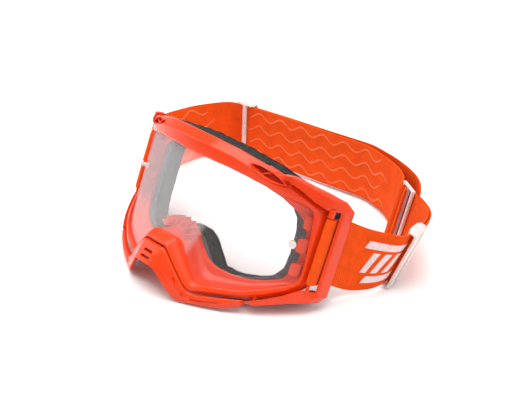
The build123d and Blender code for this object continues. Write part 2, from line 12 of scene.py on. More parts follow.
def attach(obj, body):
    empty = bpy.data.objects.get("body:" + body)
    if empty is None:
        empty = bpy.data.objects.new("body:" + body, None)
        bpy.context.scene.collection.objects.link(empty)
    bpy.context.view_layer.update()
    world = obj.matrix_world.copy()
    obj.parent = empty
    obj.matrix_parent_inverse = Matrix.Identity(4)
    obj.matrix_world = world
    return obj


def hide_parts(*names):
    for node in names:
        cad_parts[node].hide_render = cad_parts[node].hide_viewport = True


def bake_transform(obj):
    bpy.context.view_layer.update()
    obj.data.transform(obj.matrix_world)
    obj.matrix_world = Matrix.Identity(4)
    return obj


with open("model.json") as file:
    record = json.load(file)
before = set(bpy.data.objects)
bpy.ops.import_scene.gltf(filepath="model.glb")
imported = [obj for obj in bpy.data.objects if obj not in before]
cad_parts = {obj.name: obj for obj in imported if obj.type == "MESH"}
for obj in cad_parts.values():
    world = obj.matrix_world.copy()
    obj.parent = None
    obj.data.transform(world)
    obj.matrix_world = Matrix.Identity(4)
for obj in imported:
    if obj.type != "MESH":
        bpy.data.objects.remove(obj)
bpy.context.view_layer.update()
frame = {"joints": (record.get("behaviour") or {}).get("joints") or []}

# ---- Driving sizes, in millimetres and degrees, in the goggles' own axes: x across, y back, z up ----
HALF = 86.8
LENS_RADIUS = 104.9
LENS_THICKNESS = 1.0
LENS_OVERLAP = 1.1  # how far the sheet reaches past the visible edge, into its groove
REFLECTION_EDGE = 26.3  # where the painted reflection of a softbox ends across the lens, at the middle height
REFLECTION_SLANT = 0.32  # how far that edge moves across per unit of height
BAR_RADIUS = 1.05
STRAP_WIDTH = 45.0
STRAP_THICKNESS = 1.6
STRAP_HEIGHT = 4.0
LAYER_GAP = 1.9

PULL = {joint["name"]: joint for joint in frame["joints"]}
swing = [np.array(PULL["outrigger_%s_swing" % side]["pos_m"]) * 1000 for side in ("left", "right")]
BACK = -np.array(PULL["nose_guard_pull"]["axis"])
BACK = BACK / np.linalg.norm(BACK)
UP = np.cross((1, 0, 0), BACK)
HINGE_X = (swing[0] - swing[1])[0] / 2
HINGE_Y = LENS_RADIUS - sqrt(LENS_RADIUS**2 - HINGE_X**2)
ORIGIN = (swing[0] + swing[1]) / 2 - BACK * HINGE_Y


def row(points):
    """Goggles' axes in millimetres to the row frame in metres."""
    points = np.asarray(points, float)
    placed = points[..., :1] * np.array((1, 0, 0)) + points[..., 1:2] * BACK + points[..., 2:3] * UP
    return (ORIGIN + placed) / 1000


def wrap(x, depth=0.0):
    """How far back a layer lies at x, depth behind the lens's front surface."""
    x = np.clip(x, -LENS_RADIUS * 0.97, LENS_RADIUS * 0.97)
    return LENS_RADIUS + depth - np.sqrt(LENS_RADIUS**2 - x**2)


# ---- Mesh helpers ----
def add_mesh(name, points, faces, material, sharp=34, body="frame"):
    mesh = bpy.data.meshes.new(name)
    mesh.from_pydata([tuple(p) for p in points], [], [tuple(f) for f in faces])
    mesh.validate()
    piece = bpy.data.objects.new(name, mesh)
    bpy.context.collection.objects.link(piece)
    finish_mesh(piece, material, sharp)
    if body:
        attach(piece, body)
    return piece


def finish_mesh(piece, material, sharp=34):
    """Turns all faces outwards and sets one material; edges bent by more than sharp degrees stay crisp."""
    mesh = piece.data
    work = bmesh.new()
    work.from_mesh(mesh)
    bmesh.ops.recalc_face_normals(work, faces=work.faces)
    work.to_mesh(mesh)
    work.free()
    mesh.shade_smooth()
    mesh.set_sharp_from_angle(angle=radians(sharp))
    mesh.materials.clear()
    mesh.materials.append(material)


def soften_rows(rows, step, soften, closed):
    """Smooths evenly spaced rows, so that corners become rounded."""
    sigma = soften / step
    reach = max(1, int(3 * sigma))
    weights = np.exp(-0.5 * (np.arange(-reach, reach + 1) / max(sigma, 1e-6)) ** 2)
    weights /= weights.sum()
    if closed:
        padded = np.concatenate([rows[-reach:], rows, rows[:reach]])
    else:
        before = 2 * rows[0] - rows[reach:0:-1]
        after = 2 * rows[-1] - rows[-2 : -reach - 2 : -1]
        padded = np.concatenate([before, rows, after])
    return np.stack([np.convolve(padded[:, j], weights, "valid") for j in range(rows.shape[1])], 1)


def sample(stations, step=0.8, soften=1.3, closed=False, measure=4):
    """Evenly spaced rows between given stations; the first `measure` columns are lengths."""
    table = np.array(stations, float)
    if closed:
        table = np.vstack([table, table[:1]])
    run = np.linalg.norm(np.diff(table[:, :measure], axis=0), axis=1)
    place = np.concatenate([[0], np.cumsum(np.maximum(run, 1e-4))])
    count = int(place[-1] / step) + 1
    at = np.linspace(0, place[-1], count, endpoint=not closed)
    rows = np.stack([np.interp(at, place, table[:, j]) for j in range(table.shape[1])], 1)
    return soften_rows(rows, place[-1] / count, soften, closed)


def both_sides(half_stations, x_columns):
    """A closed loop from stations that run from the top's middle down to the nose."""
    flipped = []
    for station in reversed(half_stations[1:-1]):
        station = list(station)
        for column in x_columns:
            station[column] = -station[column]
        flipped.append(tuple(station))
    return list(half_stations) + flipped


def fillet(rings, radii, steps=4):
    """Rounds the corners of every ring, an array of (ring, corner, xyz)."""
    count = rings.shape[1]
    out = []
    for k in range(count):
        here, before, after = rings[:, k], rings[:, k - 1], rings[:, (k + 1) % count]
        radius = radii[k] if hasattr(radii, "__len__") else radii
        ends = []
        for other in (before, after):
            edge = other - here
            length = np.linalg.norm(edge, axis=1, keepdims=True) + 1e-9
            ends.append(here + edge / length * np.minimum(radius, 0.45 * length))
        for i in range(steps + 1):
            t = i / steps
            out.append((1 - t) ** 2 * ends[0] + 2 * t * (1 - t) * here + t**2 * ends[1])
    return np.stack(out, 1)


def loft_faces(rings, corners, closed, capped=True):
    faces = []
    for i in range(rings if closed else rings - 1):
        j = (i + 1) % rings
        for k in range(corners):
            m = (k + 1) % corners
            faces.append((i * corners + k, i * corners + m, j * corners + m, j * corners + k))
    if capped and not closed:
        faces.append(tuple(range(corners)))
        faces.append(tuple((rings - 1) * corners + k for k in range(corners)))
    return faces


def loft(name, rings, material, closed=False, sharp=34, body="frame", place=row):
    count, corners, _ = rings.shape
    points = place(rings.reshape(-1, 3))
    return add_mesh(name, points, loft_faces(count, corners, closed), material, sharp, body)


def cut_away(piece, cutters):
    """Cuts closed meshes out of a piece and removes them."""
    for cutter in cutters:
        cut = piece.modifiers.new("cut", "BOOLEAN")
        cut.operation = "DIFFERENCE"
        cut.solver = "EXACT"
        cut.object = cutter
        apply_modifiers(piece)
        bpy.data.objects.remove(cutter)


def apply_modifiers(piece):
    graph = bpy.context.evaluated_depsgraph_get()
    mesh = bpy.data.meshes.new_from_object(piece.evaluated_get(graph))
    piece.modifiers.clear()
    old = piece.data
    piece.data = mesh
    bpy.data.meshes.remove(old)


def prism(outline, low, high):
    """A closed cutter from an (x, z) outline, between two depths behind the lens's surface."""
    x, z = np.asarray(outline, float).T
    ends = [np.column_stack([x, wrap(x, depth), z]) for depth in (low, high)]
    return loft("cutter", np.stack(ends), None, body=None)


def bundle(name, sections, material, sharp, body="frame", place=row):
    """Many small lofts, each an array of (ring, corner, xyz), joined into one piece."""
    points, faces, count = [], [], 0
    for rings in sections:
        faces += [tuple(count + i for i in face) for face in loft_faces(*rings.shape[:2], False)]
        points.append(rings.reshape(-1, 3))
        count += len(points[-1])
    return add_mesh(name, place(np.vstack(points)), faces, material, sharp, body)


def millimetres(points):
    """Row-frame millimetres to metres."""
    return points / 1000


# ---- Materials ----
class Shader:
    """A Principled material with short ways to hang texture nodes on it."""

    def __init__(self, name, **inputs):
        self.material = bpy.data.materials.new(name)
        self.material.use_nodes = True
        self.nodes = self.material.node_tree.nodes
        self.links = self.material.node_tree.links
        self.surface = self.nodes["Principled BSDF"]
        for key, value in inputs.items():
            self.surface.inputs[key.replace("_", " ")].default_value = value

    def add(self, kind, **settings):
        node = self.nodes.new(kind)
        for key, value in settings.items():
            if key in node.inputs:
                node.inputs[key].default_value = value
            elif key.replace("_", " ") in node.inputs:
                node.inputs[key.replace("_", " ")].default_value = value
            else:
                setattr(node, key, value)
        return node

    def coords(self, kind="Object", scale=(1, 1, 1)):
        place = self.add("ShaderNodeTexCoord")
        mapping = self.add("ShaderNodeMapping")
        mapping.inputs["Scale"].default_value = scale
        self.links.new(place.outputs[kind], mapping.inputs["Vector"])
        return mapping.outputs[0]

    def noise(self, vector, scale, detail=4.0, roughness=0.55):
        node = self.add("ShaderNodeTexNoise", Scale=scale, Detail=detail, Roughness=roughness)
        self.links.new(vector, node.inputs["Vector"])
        return node.outputs["Fac"]

    def ramp(self, factor, *stops):
        node = self.add("ShaderNodeValToRGB")
        ramp = node.color_ramp
        while len(ramp.elements) < len(stops):
            ramp.elements.new(0.5)
        for element, (position, colour) in zip(ramp.elements, stops):
            element.position = position
            element.color = (*colour, 1) if len(colour) == 3 else colour
        self.links.new(factor, node.inputs["Fac"])
        return node.outputs["Color"]

    def math(self, operation, a, b=None):
        node = self.add("ShaderNodeMath", operation=operation)
        for index, value in enumerate((a, b)):
            if value is None:
                continue
            if isinstance(value, (int, float)):
                node.inputs[index].default_value = value
            else:
                self.links.new(value, node.inputs[index])
        return node.outputs[0]

    def bump(self, height, strength, distance):
        node = self.add("ShaderNodeBump", Strength=strength, Distance=distance)
        self.links.new(height, node.inputs["Height"])
        self.links.new(node.outputs["Normal"], self.surface.inputs["Normal"])

    def link(self, output, name):
        self.links.new(output, self.surface.inputs[name])


ORANGE = (0.74, 0.040, 0.002)


def moulded_orange(name="orange_plastic", deep=0.0):
    """Glossy moulded plastic with slight flow marks; deep darkens it by that share."""
    base = tuple(c * (1 - deep) for c in ORANGE)
    shade = Shader(name, Base_Color=(*base, 1), Roughness=0.24, IOR=1.5, Specular_IOR_Level=0.3,
                   Coat_Weight=0.06, Coat_Roughness=0.12, Subsurface_Weight=0.08,
                   Subsurface_Radius=(0.004, 0.0012, 0.0005))
    where = shade.coords()
    broad = shade.noise(where, 28.0, 2.0)
    fine = shade.noise(where, 900.0, 3.0)
    low = tuple(c * 0.93 for c in base)
    high = (min(1, base[0] * 1.04), base[1] * 1.15, base[2] * 1.3)
    shade.link(shade.ramp(broad, (0.3, low), (0.7, high)), "Base Color")
    shade.link(shade.ramp(broad, (0.25, (0.20,) * 3), (0.75, (0.30,) * 3)), "Roughness")
    shade.bump(fine, 0.05, 0.0001)
    return shade.material


def webbing(name, colour):
    """Twill elastic: fine diagonal ribs along the band, slight fuzz and colour change per yarn."""
    shade = Shader(name, Base_Color=(*colour, 1), Roughness=0.78, IOR=1.45, Specular_IOR_Level=0.15,
                   Sheen_Weight=0.03, Sheen_Roughness=0.5, Sheen_Tint=(1.0, 0.45, 0.25, 1))
    band = shade.coords("UV")
    ribs = shade.add("ShaderNodeTexWave", wave_type="BANDS", bands_direction="DIAGONAL", Scale=260.0)
    ribs.inputs["Distortion"].default_value = 0.6
    ribs.inputs["Detail"].default_value = 1.0
    shade.links.new(band, ribs.inputs["Vector"])
    cross = shade.add("ShaderNodeTexWave", wave_type="BANDS", bands_direction="Y", Scale=420.0)
    shade.links.new(band, cross.inputs["Vector"])
    yarn = shade.noise(band, 90.0, 5.0, 0.7)
    height = shade.math("ADD", ribs.outputs["Fac"], shade.math("MULTIPLY", cross.outputs["Fac"], 0.5))
    height = shade.math("ADD", height, shade.math("MULTIPLY", yarn, 0.6))
    low = tuple(c * 0.84 for c in colour)
    high = tuple(min(1, c * 1.10) for c in colour)
    shade.link(shade.ramp(yarn, (0.3, low), (0.7, high)), "Base Color")
    shade.bump(height, 0.35, 0.00025)
    return shade.material


def foam(name, dark, light, cell, depth=0.0006):
    """Open-cell foam: pitted, with no gloss."""
    shade = Shader(name, Base_Color=(*dark, 1), Roughness=0.95, IOR=1.3, Specular_IOR_Level=0.15)
    where = shade.coords()
    cells = shade.add("ShaderNodeTexVoronoi", Scale=cell)
    shade.links.new(where, cells.inputs["Vector"])
    mix = shade.noise(where, cell * 0.35, 5.0)
    shade.link(shade.ramp(mix, (0.3, dark), (0.75, light)), "Base Color")
    shade.bump(shade.math("ADD", cells.outputs["Distance"], mix), 0.6, depth)
    return shade.material


def clear_lens():
    """Thin clear sheet, almost all see-through, with a painted reflection: a whitish veil on the wearer's
    right side and at grazing angles.
    """
    shade = Shader("lens_clear", Base_Color=(0.93, 0.92, 0.93, 1), Roughness=0.05, IOR=1.46)
    # Painted reflection: the alpha of the white base colour is raised on the wearer's right side, standing
    # in for a softbox reflected in the lens.
    across = shade.add("ShaderNodeVectorMath", operation="DOT_PRODUCT")
    shade.links.new(shade.coords(), across.inputs[0])
    axis = np.array((1, 0, 0)) - REFLECTION_SLANT * UP
    across.inputs[1].default_value = tuple(axis)
    edge = float(axis @ row((REFLECTION_EDGE, float(wrap(REFLECTION_EDGE)), 0)))
    reflection_zone = shade.add("ShaderNodeMapRange", interpolation_type="SMOOTHSTEP")
    limits = {"From Min": edge - 0.003, "From Max": edge + 0.003, "To Min": 0.13, "To Max": 0.02}
    for key, value in limits.items():
        reflection_zone.inputs[key].default_value = value
    shade.links.new(across.outputs["Value"], reflection_zone.inputs["Value"])
    # This noise varies both the lens's roughness and the strength of the painted reflection.
    haze_and_reflection = shade.noise(shade.coords(), 45.0, 3.0)
    # Painted reflection at grazing angles: more white alpha where the surface turns away from the view.
    facing = shade.add("ShaderNodeLayerWeight", Blend=0.22)
    grazing_reflection = shade.math("MULTIPLY", facing.outputs["Fresnel"], 0.07)
    painted_reflection = shade.math("ADD", reflection_zone.outputs["Result"], grazing_reflection)
    painted_reflection = shade.math("MULTIPLY", painted_reflection, shade.math("ADD", shade.math("MULTIPLY", haze_and_reflection, 0.3), 0.85))
    shade.link(painted_reflection, "Alpha")
    shade.link(shade.ramp(haze_and_reflection, (0.35, (0.03,) * 3), (0.8, (0.09,) * 3)), "Roughness")
    return shade.material


def milky_plastic():
    """Pale pink, slightly see-through moulding."""
    shade = Shader("milky_plastic", Base_Color=(0.88, 0.66, 0.62, 1), Roughness=0.28, IOR=1.49,
                   Transmission_Weight=0.35, Subsurface_Weight=0.25,
                   Subsurface_Radius=(0.003, 0.002, 0.002), Coat_Weight=0.3)
    cloud = shade.noise(shade.coords(), 160.0, 3.0)
    shade.link(shade.ramp(cloud, (0.3, (0.90, 0.74, 0.71)), (0.7, (0.96, 0.86, 0.83))), "Base Color")
    shade.bump(shade.noise(shade.coords(), 1200.0), 0.04, 0.0001)
    return shade.material


def silicone():
    """Translucent rubber of the grip waves."""
    shade = Shader("grip_silicone", Base_Color=(0.88, 0.14, 0.02, 1), Roughness=0.36, IOR=1.42,
                   Transmission_Weight=0.2)
    cloud = shade.noise(shade.coords(), 300.0, 3.0)
    shade.link(shade.ramp(cloud, (0.3, (0.84, 0.11, 0.015)), (0.7, (0.92, 0.18, 0.04))), "Base Color")
    return shade.material


def print_ink(name, colour):
    """Speckled screen print."""
    shade = Shader(name, Base_Color=(*colour, 1), Roughness=0.5, IOR=1.45)
    speck = shade.noise(shade.coords(), 700.0, 4.0)
    low = tuple(c * 0.82 for c in colour)
    shade.link(shade.ramp(speck, (0.35, low), (0.6, colour)), "Base Color")
    shade.bump(speck, 0.1, 0.0001)
    return shade.material


def thread():
    """Twisted sewing thread."""
    shade = Shader("thread", Base_Color=(0.80, 0.13, 0.03, 1), Roughness=0.7)
    ply = shade.add("ShaderNodeTexWave", Scale=900.0)
    shade.links.new(shade.coords(), ply.inputs["Vector"])
    twist = shade.ramp(ply.outputs["Fac"], (0.2, (0.62, 0.09, 0.02)), (0.8, (0.9, 0.18, 0.05)))
    shade.link(twist, "Base Color")
    return shade.material


plastic = moulded_orange()
plastic_guard = moulded_orange("orange_plastic_guard", 0.04)
plastic_arm = moulded_orange("orange_plastic_arm", 0.02)
strap_cloth = webbing("strap_webbing", (0.76, 0.072, 0.003))
foam_grey = foam("foam_grey", (0.075, 0.080, 0.078), (0.16, 0.165, 0.16), 900.0)
foam_dark = foam("foam_dark", (0.018, 0.018, 0.018), (0.055, 0.055, 0.052), 1100.0)
fleece = foam("fleece_black", (0.008, 0.008, 0.008), (0.035, 0.035, 0.034), 2600.0, 0.0003)
lens_clear = clear_lens()
milky = milky_plastic()
grip = silicone()
ink = print_ink("ink_pale", (0.80, 0.62, 0.62))

# ---- Frame ----
# Rim stations, for the wearer's left half from the top's middle down to the nose: lens edge x and z,
# outer edge x and z, then depths behind the lens's surface of the inner lip, the crease, the outer lip
# and where the crease lies between the two edges.
RIM = [
    (0, 38.0, 0, 51.8, -2.6, -3.6, 0.6, 0.62),
    (15, 38.0, 14, 51.7, -2.6, -3.6, 0.6, 0.62),
    (31, 37.8, 31, 50.6, -2.6, -3.6, 0.6, 0.62),
    (40, 37.2, 41.5, 48.9, -2.6, -3.6, 0.6, 0.58),
    (47, 36.4, 49, 47.6, -2.6, -3.6, 0.2, 0.45),
    (54, 35.1, 56.5, 46.4, -2.6, -3.6, 0.0, 0.36),
    (60.5, 33.6, 62.5, 43.9, -2.6, -3.5, -0.2, 0.36),
    (66, 32.6, 67.2, 41.3, -2.6, -3.4, -0.6, 0.42),
    (74, 31.3, 76, 37.4, -2.6, -3.4, -1.2, 0.55),
    (79, 29.9, 81.5, 33.6, -2.4, -3.3, -1.6, 0.55),
    (81, 27.4, 85.3, 30.2, -2.2, -3.2, -1.8, 0.55),
    (81.6, 22, 86.7, 25, -2.0, -3.0, -1.8, 0.5),
    (82.3, 13, 86.8, 13, -1.9, -2.9, -1.8, 0.5),
    (83.5, -5, 86.8, -5, -1.9, -2.9, -1.8, 0.5),
    (83.6, -15, 86.8, -17, -1.9, -2.9, -1.8, 0.5),
    (82.4, -20.3, 85.6, -23, -2.0, -3.0, -1.8, 0.5),
    (78.7, -24.4, 80.3, -29.4, -2.2, -3.3, -1.6, 0.5),
    (70.3, -29.7, 71, -36.0, -2.4, -3.4, -1.4, 0.5),
    (59.4, -35.6, 60.4, -40.8, -2.4, -3.4, -1.4, 0.5),
    (46.3, -39.2, 47, -45.2, -2.4, -3.4, -1.6, 0.5),
    (36, -41.7, 37, -47.9, -2.4, -3.6, -2.4, 0.5),
    (32, -42.3, 31.6, -48.8, -2.4, -4.2, -4.4, 0.45),
    (29.4, -41.6, 28.6, -48.0, -2.6, -4.8, -5.6, 0.4),
    (25.6, -37.6, 24.6, -43.8, -3.2, -5.6, -7.4, 0.4),
    (18.5, -28.9, 17.2, -35.4, -4.4, -7.6, -9.6, 0.4),
    (12.6, -21.4, 11.0, -28.2, -5.6, -8.8, -11.2, 0.4),
    (10.6, -19.7, 9.0, -26.5, -6.0, -9.2, -11.6, 0.4),
    (5, -19.7, 4.5, -26.5, -6.2, -9.4, -11.8, 0.4),
    (0, -19.7, 0, -26.5, -6.2, -9.4, -11.8, 0.4),
]


def between(rows, share):
    """Points from the lens edge (0) to the outer edge (1) on the front plane."""
    share = np.asarray(share, float).reshape(-1, 1) if hasattr(share, "__len__") else share
    return rows[:, 0:2] * (1 - share) + rows[:, 2:4] * share


def layer(flat, depth):
    """Puts front-plane points on the wrapped surface at a depth."""
    return np.column_stack([flat[:, 0], wrap(flat[:, 0]) + depth, flat[:, 1]])


VENT_HALF_WIDTH = 2.2


def vent_outline(grow=0.0):
    """The eye-shaped side vent: two arcs that meet at pointed ends."""
    ends = np.array([(45.0, 45.6), (65.2, 39.6)])
    along = ends[1] - ends[0]
    length = np.linalg.norm(along)
    along /= length
    aside = np.array([-along[1], along[0]])
    outline = []
    for side in (1, -1):
        for i in range(12):
            share = i / 12 if side > 0 else 1 - i / 12
            bulge = (VENT_HALF_WIDTH + grow) * sin(pi * share) ** 0.8 * side
            stretch = (share - 0.5) * (length + 2 * grow) + length / 2
            outline.append(ends[0] + along * stretch + aside * bulge)
    return np.array(outline)


def build_rim():
    rows = sample(both_sides(RIM, (0, 2)), 0.8, 1.15, closed=True)
    lip, crease, outer, where = rows[:, 4], rows[:, 5], rows[:, 6], rows[:, 7]
    width = np.linalg.norm(rows[:, 2:4] - rows[:, 0:2], axis=1)
    groove = 0.9 / width
    corners = [
        layer(between(rows, groove), 3.8),
        layer(between(rows, groove), -0.55),
        layer(between(rows, groove * 0), -0.55),
        layer(between(rows, groove * 0), lip + 0.6),
        layer(between(rows, 0.8 / width), lip - 0.1),
        layer(between(rows, where), crease),
        layer(between(rows, 1 - 1.6 / width), outer),
        layer(between(rows, groove * 0 + 1), outer + 1.9),
        layer(between(rows, groove * 0 + 1), 3.8),
    ]
    rings = fillet(np.stack(corners, 1), [0.3, 0.2, 0.2, 0.45, 0.55, 0.9, 0.8, 0.8, 0.4])
    rim = loft("frame_rim", rings, plastic, closed=True)
    vents = []
    for side in (1, -1):
        outline = vent_outline() * np.array((side, 1))
        vents.append(prism(outline, -9.0, 9.0))
    cut_away(rim, vents)
    finish_mesh(rim, plastic)
    return rim


def build_vent_lips():
    """A raised lip round each side vent, with the crossing rib that divides it."""
    for side, tag in ((1, "left"), (-1, "right")):
        inner, outer = vent_outline(0.0), vent_outline(1.5)
        rows = np.column_stack([inner, outer])
        table = sample([tuple(r) for r in rows], 0.5, 0.35, closed=True)
        table[:, (0, 2)] *= side
        corners = [
            layer(between(table, 0.0), 0.5),
            layer(between(table, 0.05), -2.9),
            layer(between(table, 0.45), -4.1),
            layer(between(table, 0.95), -3.3),
            layer(between(table, 1.0), -1.6),
        ]
        loft("vent_lip_" + tag, fillet(np.stack(corners, 1), 0.35), plastic, closed=True)
        x, z = np.array([(51.2, 41.3), (58.4, 45.2)]).T
        rib = []
        for t in np.linspace(0, 1, 14):
            px, pz = side * (x[0] + (x[1] - x[0]) * t), z[0] + (z[1] - z[0]) * t
            aside = np.array((-(z[1] - z[0]), 0, side * (x[1] - x[0]))) / 8.2
            low, high = wrap(px) + 2.5, wrap(px) - 3.2 + 1.4 * abs(2 * t - 1)
            rib.append([(px, low, pz) - aside * 0.55, (px, high, pz) - aside * 0.5,
                        (px, high, pz) + aside * 0.5, (px, low, pz) + aside * 0.55])
        loft("vent_rib_" + tag, fillet(np.array(rib), 0.25), plastic)


# Skirt stations: rim edge x and z, skirt's outer x and z, face flange opening x and z.
SKIRT = [
    (0, 38.4, 0, 49.9, 0, 34.6),
    (15.6, 38.4, 15.6, 49.9, 17.5, 34.5),
    (31, 38.2, 30, 48.4, 32, 33.6),
    (47, 36.8, 45, 45.6, 46, 31.8),
    (60.5, 34.2, 59, 41.5, 57, 28.6),
    (74, 31.8, 73, 35.8, 67.5, 22.6),
    (80.4, 29.2, 80.5, 30.0, 72.4, 16.6),
    (82.2, 20, 82.6, 22, 74.2, 10.5),
    (83.2, 5, 82.6, 5, 74.3, 2),
    (83.8, -8, 82.6, -8, 74.3, -6),
    (83.6, -17, 82.6, -18, 73.4, -15),
    (79.4, -25.2, 78, -27.4, 69.6, -23.2),
    (70.5, -30.6, 69, -33.5, 62, -27.5),
    (59.6, -36.4, 59, -38.2, 53, -30.4),
    (46.5, -40.2, 46, -43.4, 41.6, -31.8),
    (33, -43.0, 35.5, -45.8, 31, -31.2),
    (28.4, -41.8, 29, -43.4, 24, -28.8),
    (18.8, -30, 19.8, -34, 17.2, -22.6),
    (12.5, -21, 13, -26.5, 13.6, -18.6),
    (10, -20.2, 10.6, -24.6, 11.4, -14.8),
    (6, -20.2, 6, -24.4, 7.4, -11.4),
    (0, -20.2, 0, -24.4, 0, -9.6),
]


def build_skirt():
    rows = sample(both_sides(SKIRT, (0, 2, 4)), 0.9, 1.2, closed=True, measure=2)
    edge, outside, opening = rows[:, 0:2], rows[:, 2:4], rows[:, 4:6]
    nose = np.exp(-((rows[:, 0] / 16.0) ** 4)) * (rows[:, 1] < -5)

    def at(inner, share, depth):
        flat = edge * (1 - share) + inner * share
        return layer(flat, depth)

    corners = [
        at(edge, 0, 1.25),
        at(opening, 0.22, 8.4 - 3 * nose),
        at(opening, 0.55, 12.2 - 3.5 * nose),
        at(opening, 1.0, 13.6 - 2.4 * nose),
        at(opening, 1.0, 16.0),
        at(outside, 1.0, 16.0),
        at(outside, 1.0, 3.0),
        at(outside, 0.9, 1.6),
    ]
    rings = fillet(np.stack(corners, 1), [0.3, 2.2, 2.2, 0.7, 0.5, 0.8, 0.5, 0.3])
    skirt = loft("frame_skirt", rings, plastic, closed=True)
    cutters = []
    for side in (1, -1):
        for z, tall in ((-13.0, 8.5), (3.5, 9.5), (19.0, 8.5)):
            cutters.append(prism(rounded_box(side * 78.3, z, 4.6, tall, 1.3), 4.0, 20.0))
    for step in range(7):
        angle = radians(28 + step * 124 / 6)
        centre = (13.0 * cos(angle), -21.5 + 11.0 * sin(angle))
        cutters.append(prism(rounded_box(*centre, 5.4, 0.75, 0.3, angle), 2.0, 14.6))
    cut_away(skirt, cutters)
    finish_mesh(skirt, plastic)


def rounded_box(x, z, wide, tall, corner, turn=0.0):
    """An (x, z) outline with rounded corners, turned by an angle in radians."""
    outline = []
    for i, (sx, sz) in enumerate(((1, 1), (-1, 1), (-1, -1), (1, -1))):
        for k in range(5):
            angle = pi / 2 * (i + k / 4)
            px = sx * (wide / 2 - corner) + corner * cos(angle)
            pz = sz * (tall / 2 - corner) + corner * sin(angle)
            outline.append((x + px * cos(turn) - pz * sin(turn), z + px * sin(turn) + pz * cos(turn)))
    return outline


# ---- Lens ----
def build_lens():
    rows = sample(both_sides(RIM, (0, 2)), 1.2, 1.0, closed=True)
    outline = between(rows, LENS_OVERLAP / np.linalg.norm(rows[:, 2:4] - rows[:, 0:2], axis=1))
    centre = np.array((0.0, 6.0))
    rings, count = 16, len(outline)
    shells = [centre + (outline - centre) * (1 - k / rings) for k in range(rings)]
    points, faces = [], []
    half = count * rings + 1
    for base, depth in ((0, 0.0), (half, LENS_THICKNESS)):
        points += [layer(shell, depth) for shell in shells] + [np.array([(0.0, depth, centre[1])])]
        for i in range(count):
            j = (i + 1) % count
            for start in range(base, base + (rings - 1) * count, count):
                faces.append((start + i, start + j, start + count + j, start + count + i))
            last = base + (rings - 1) * count
            faces.append((last + i, last + j, last + count))
    faces += [(i, (i + 1) % count, half + (i + 1) % count, half + i) for i in range(count)]
    lens = add_mesh("lens_sheet", row(np.vstack(points)), faces, lens_clear, 40)
    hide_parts("lens")


def lathe(name, profile, base, direction, material, body="frame", turns=36):
    """Spins a profile of (radius, height) about an axis; base and direction are in the goggles' axes."""
    direction = np.array(direction, float) / np.linalg.norm(direction)
    side = np.cross(direction, (0, 1, 0) if abs(direction[2]) > 0.9 else (0, 0, 1))
    side /= np.linalg.norm(side)
    other = np.cross(direction, side)
    points = []
    for radius, height in profile:
        middle = np.array(base) + direction * height
        for i in range(turns):
            angle = 2 * pi * i / turns
            points.append(middle + radius * (side * cos(angle) + other * sin(angle)))
    faces = loft_faces(len(profile), turns, False)
    return add_mesh(name, row(points), faces, material, 40, body)


def build_posts():
    for side, tag in ((1, "left"), (-1, "right")):
        x = side * 0.87 * HALF
        base = (x, float(wrap(x)), STRAP_HEIGHT)
        outward = (x, base[1] - LENS_RADIUS, 0)
        profile = [(2.3, -1.9), (2.4, -1.7), (2.4, -1.1), (1.5, -1.1), (1.5, 0.1), (1.75, 0.15), (1.5, 0.5),
                   (1.45, 1.7), (1.6, 2.1), (2.2, 2.3), (2.4, 2.6), (2.4, 3.5), (2.25, 3.9), (1.8, 4.15),
                   (1.1, 4.2), (0.9, 4.0), (0.5, 3.95)]
        post = lathe("tear_off_stud_" + tag, profile, base, outward, milky)
        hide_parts("tear_off_post_" + tag)


# ---- Nose guard ----
# Guard stations from the nose's middle to the wing's end: x, z and depth of the upper and the lower edge.
GUARD = [
    (0, -27.0, -12.0, 0, -40.6, -18.6),
    (5, -27.0, -12.0, 5, -40.6, -18.6),
    (8.9, -27.0, -11.9, 7.9, -40.6, -18.2),
    (11.4, -28.8, -11.3, 9.6, -42.0, -16.9),
    (17.8, -36.0, -9.8, 14.6, -47.6, -13.6),
    (24.4, -43.6, -7.8, 20.0, -53.6, -10.2),
    (28.0, -47.9, -6.2, 23.6, -57.0, -7.6),
    (31.0, -49.3, -5.2, 27.0, -57.4, -6.6),
    (36.5, -48.7, -4.6, 34.0, -55.8, -5.8),
    (46.5, -45.8, -4.2, 45.0, -53.0, -5.2),
    (54.0, -43.6, -4.0, 55.0, -50.2, -4.9),
    (58.6, -42.2, -4.0, 60.5, -46.8, -4.7),
    (62.0, -41.0, -4.0, 62.6, -44.4, -4.5),
]


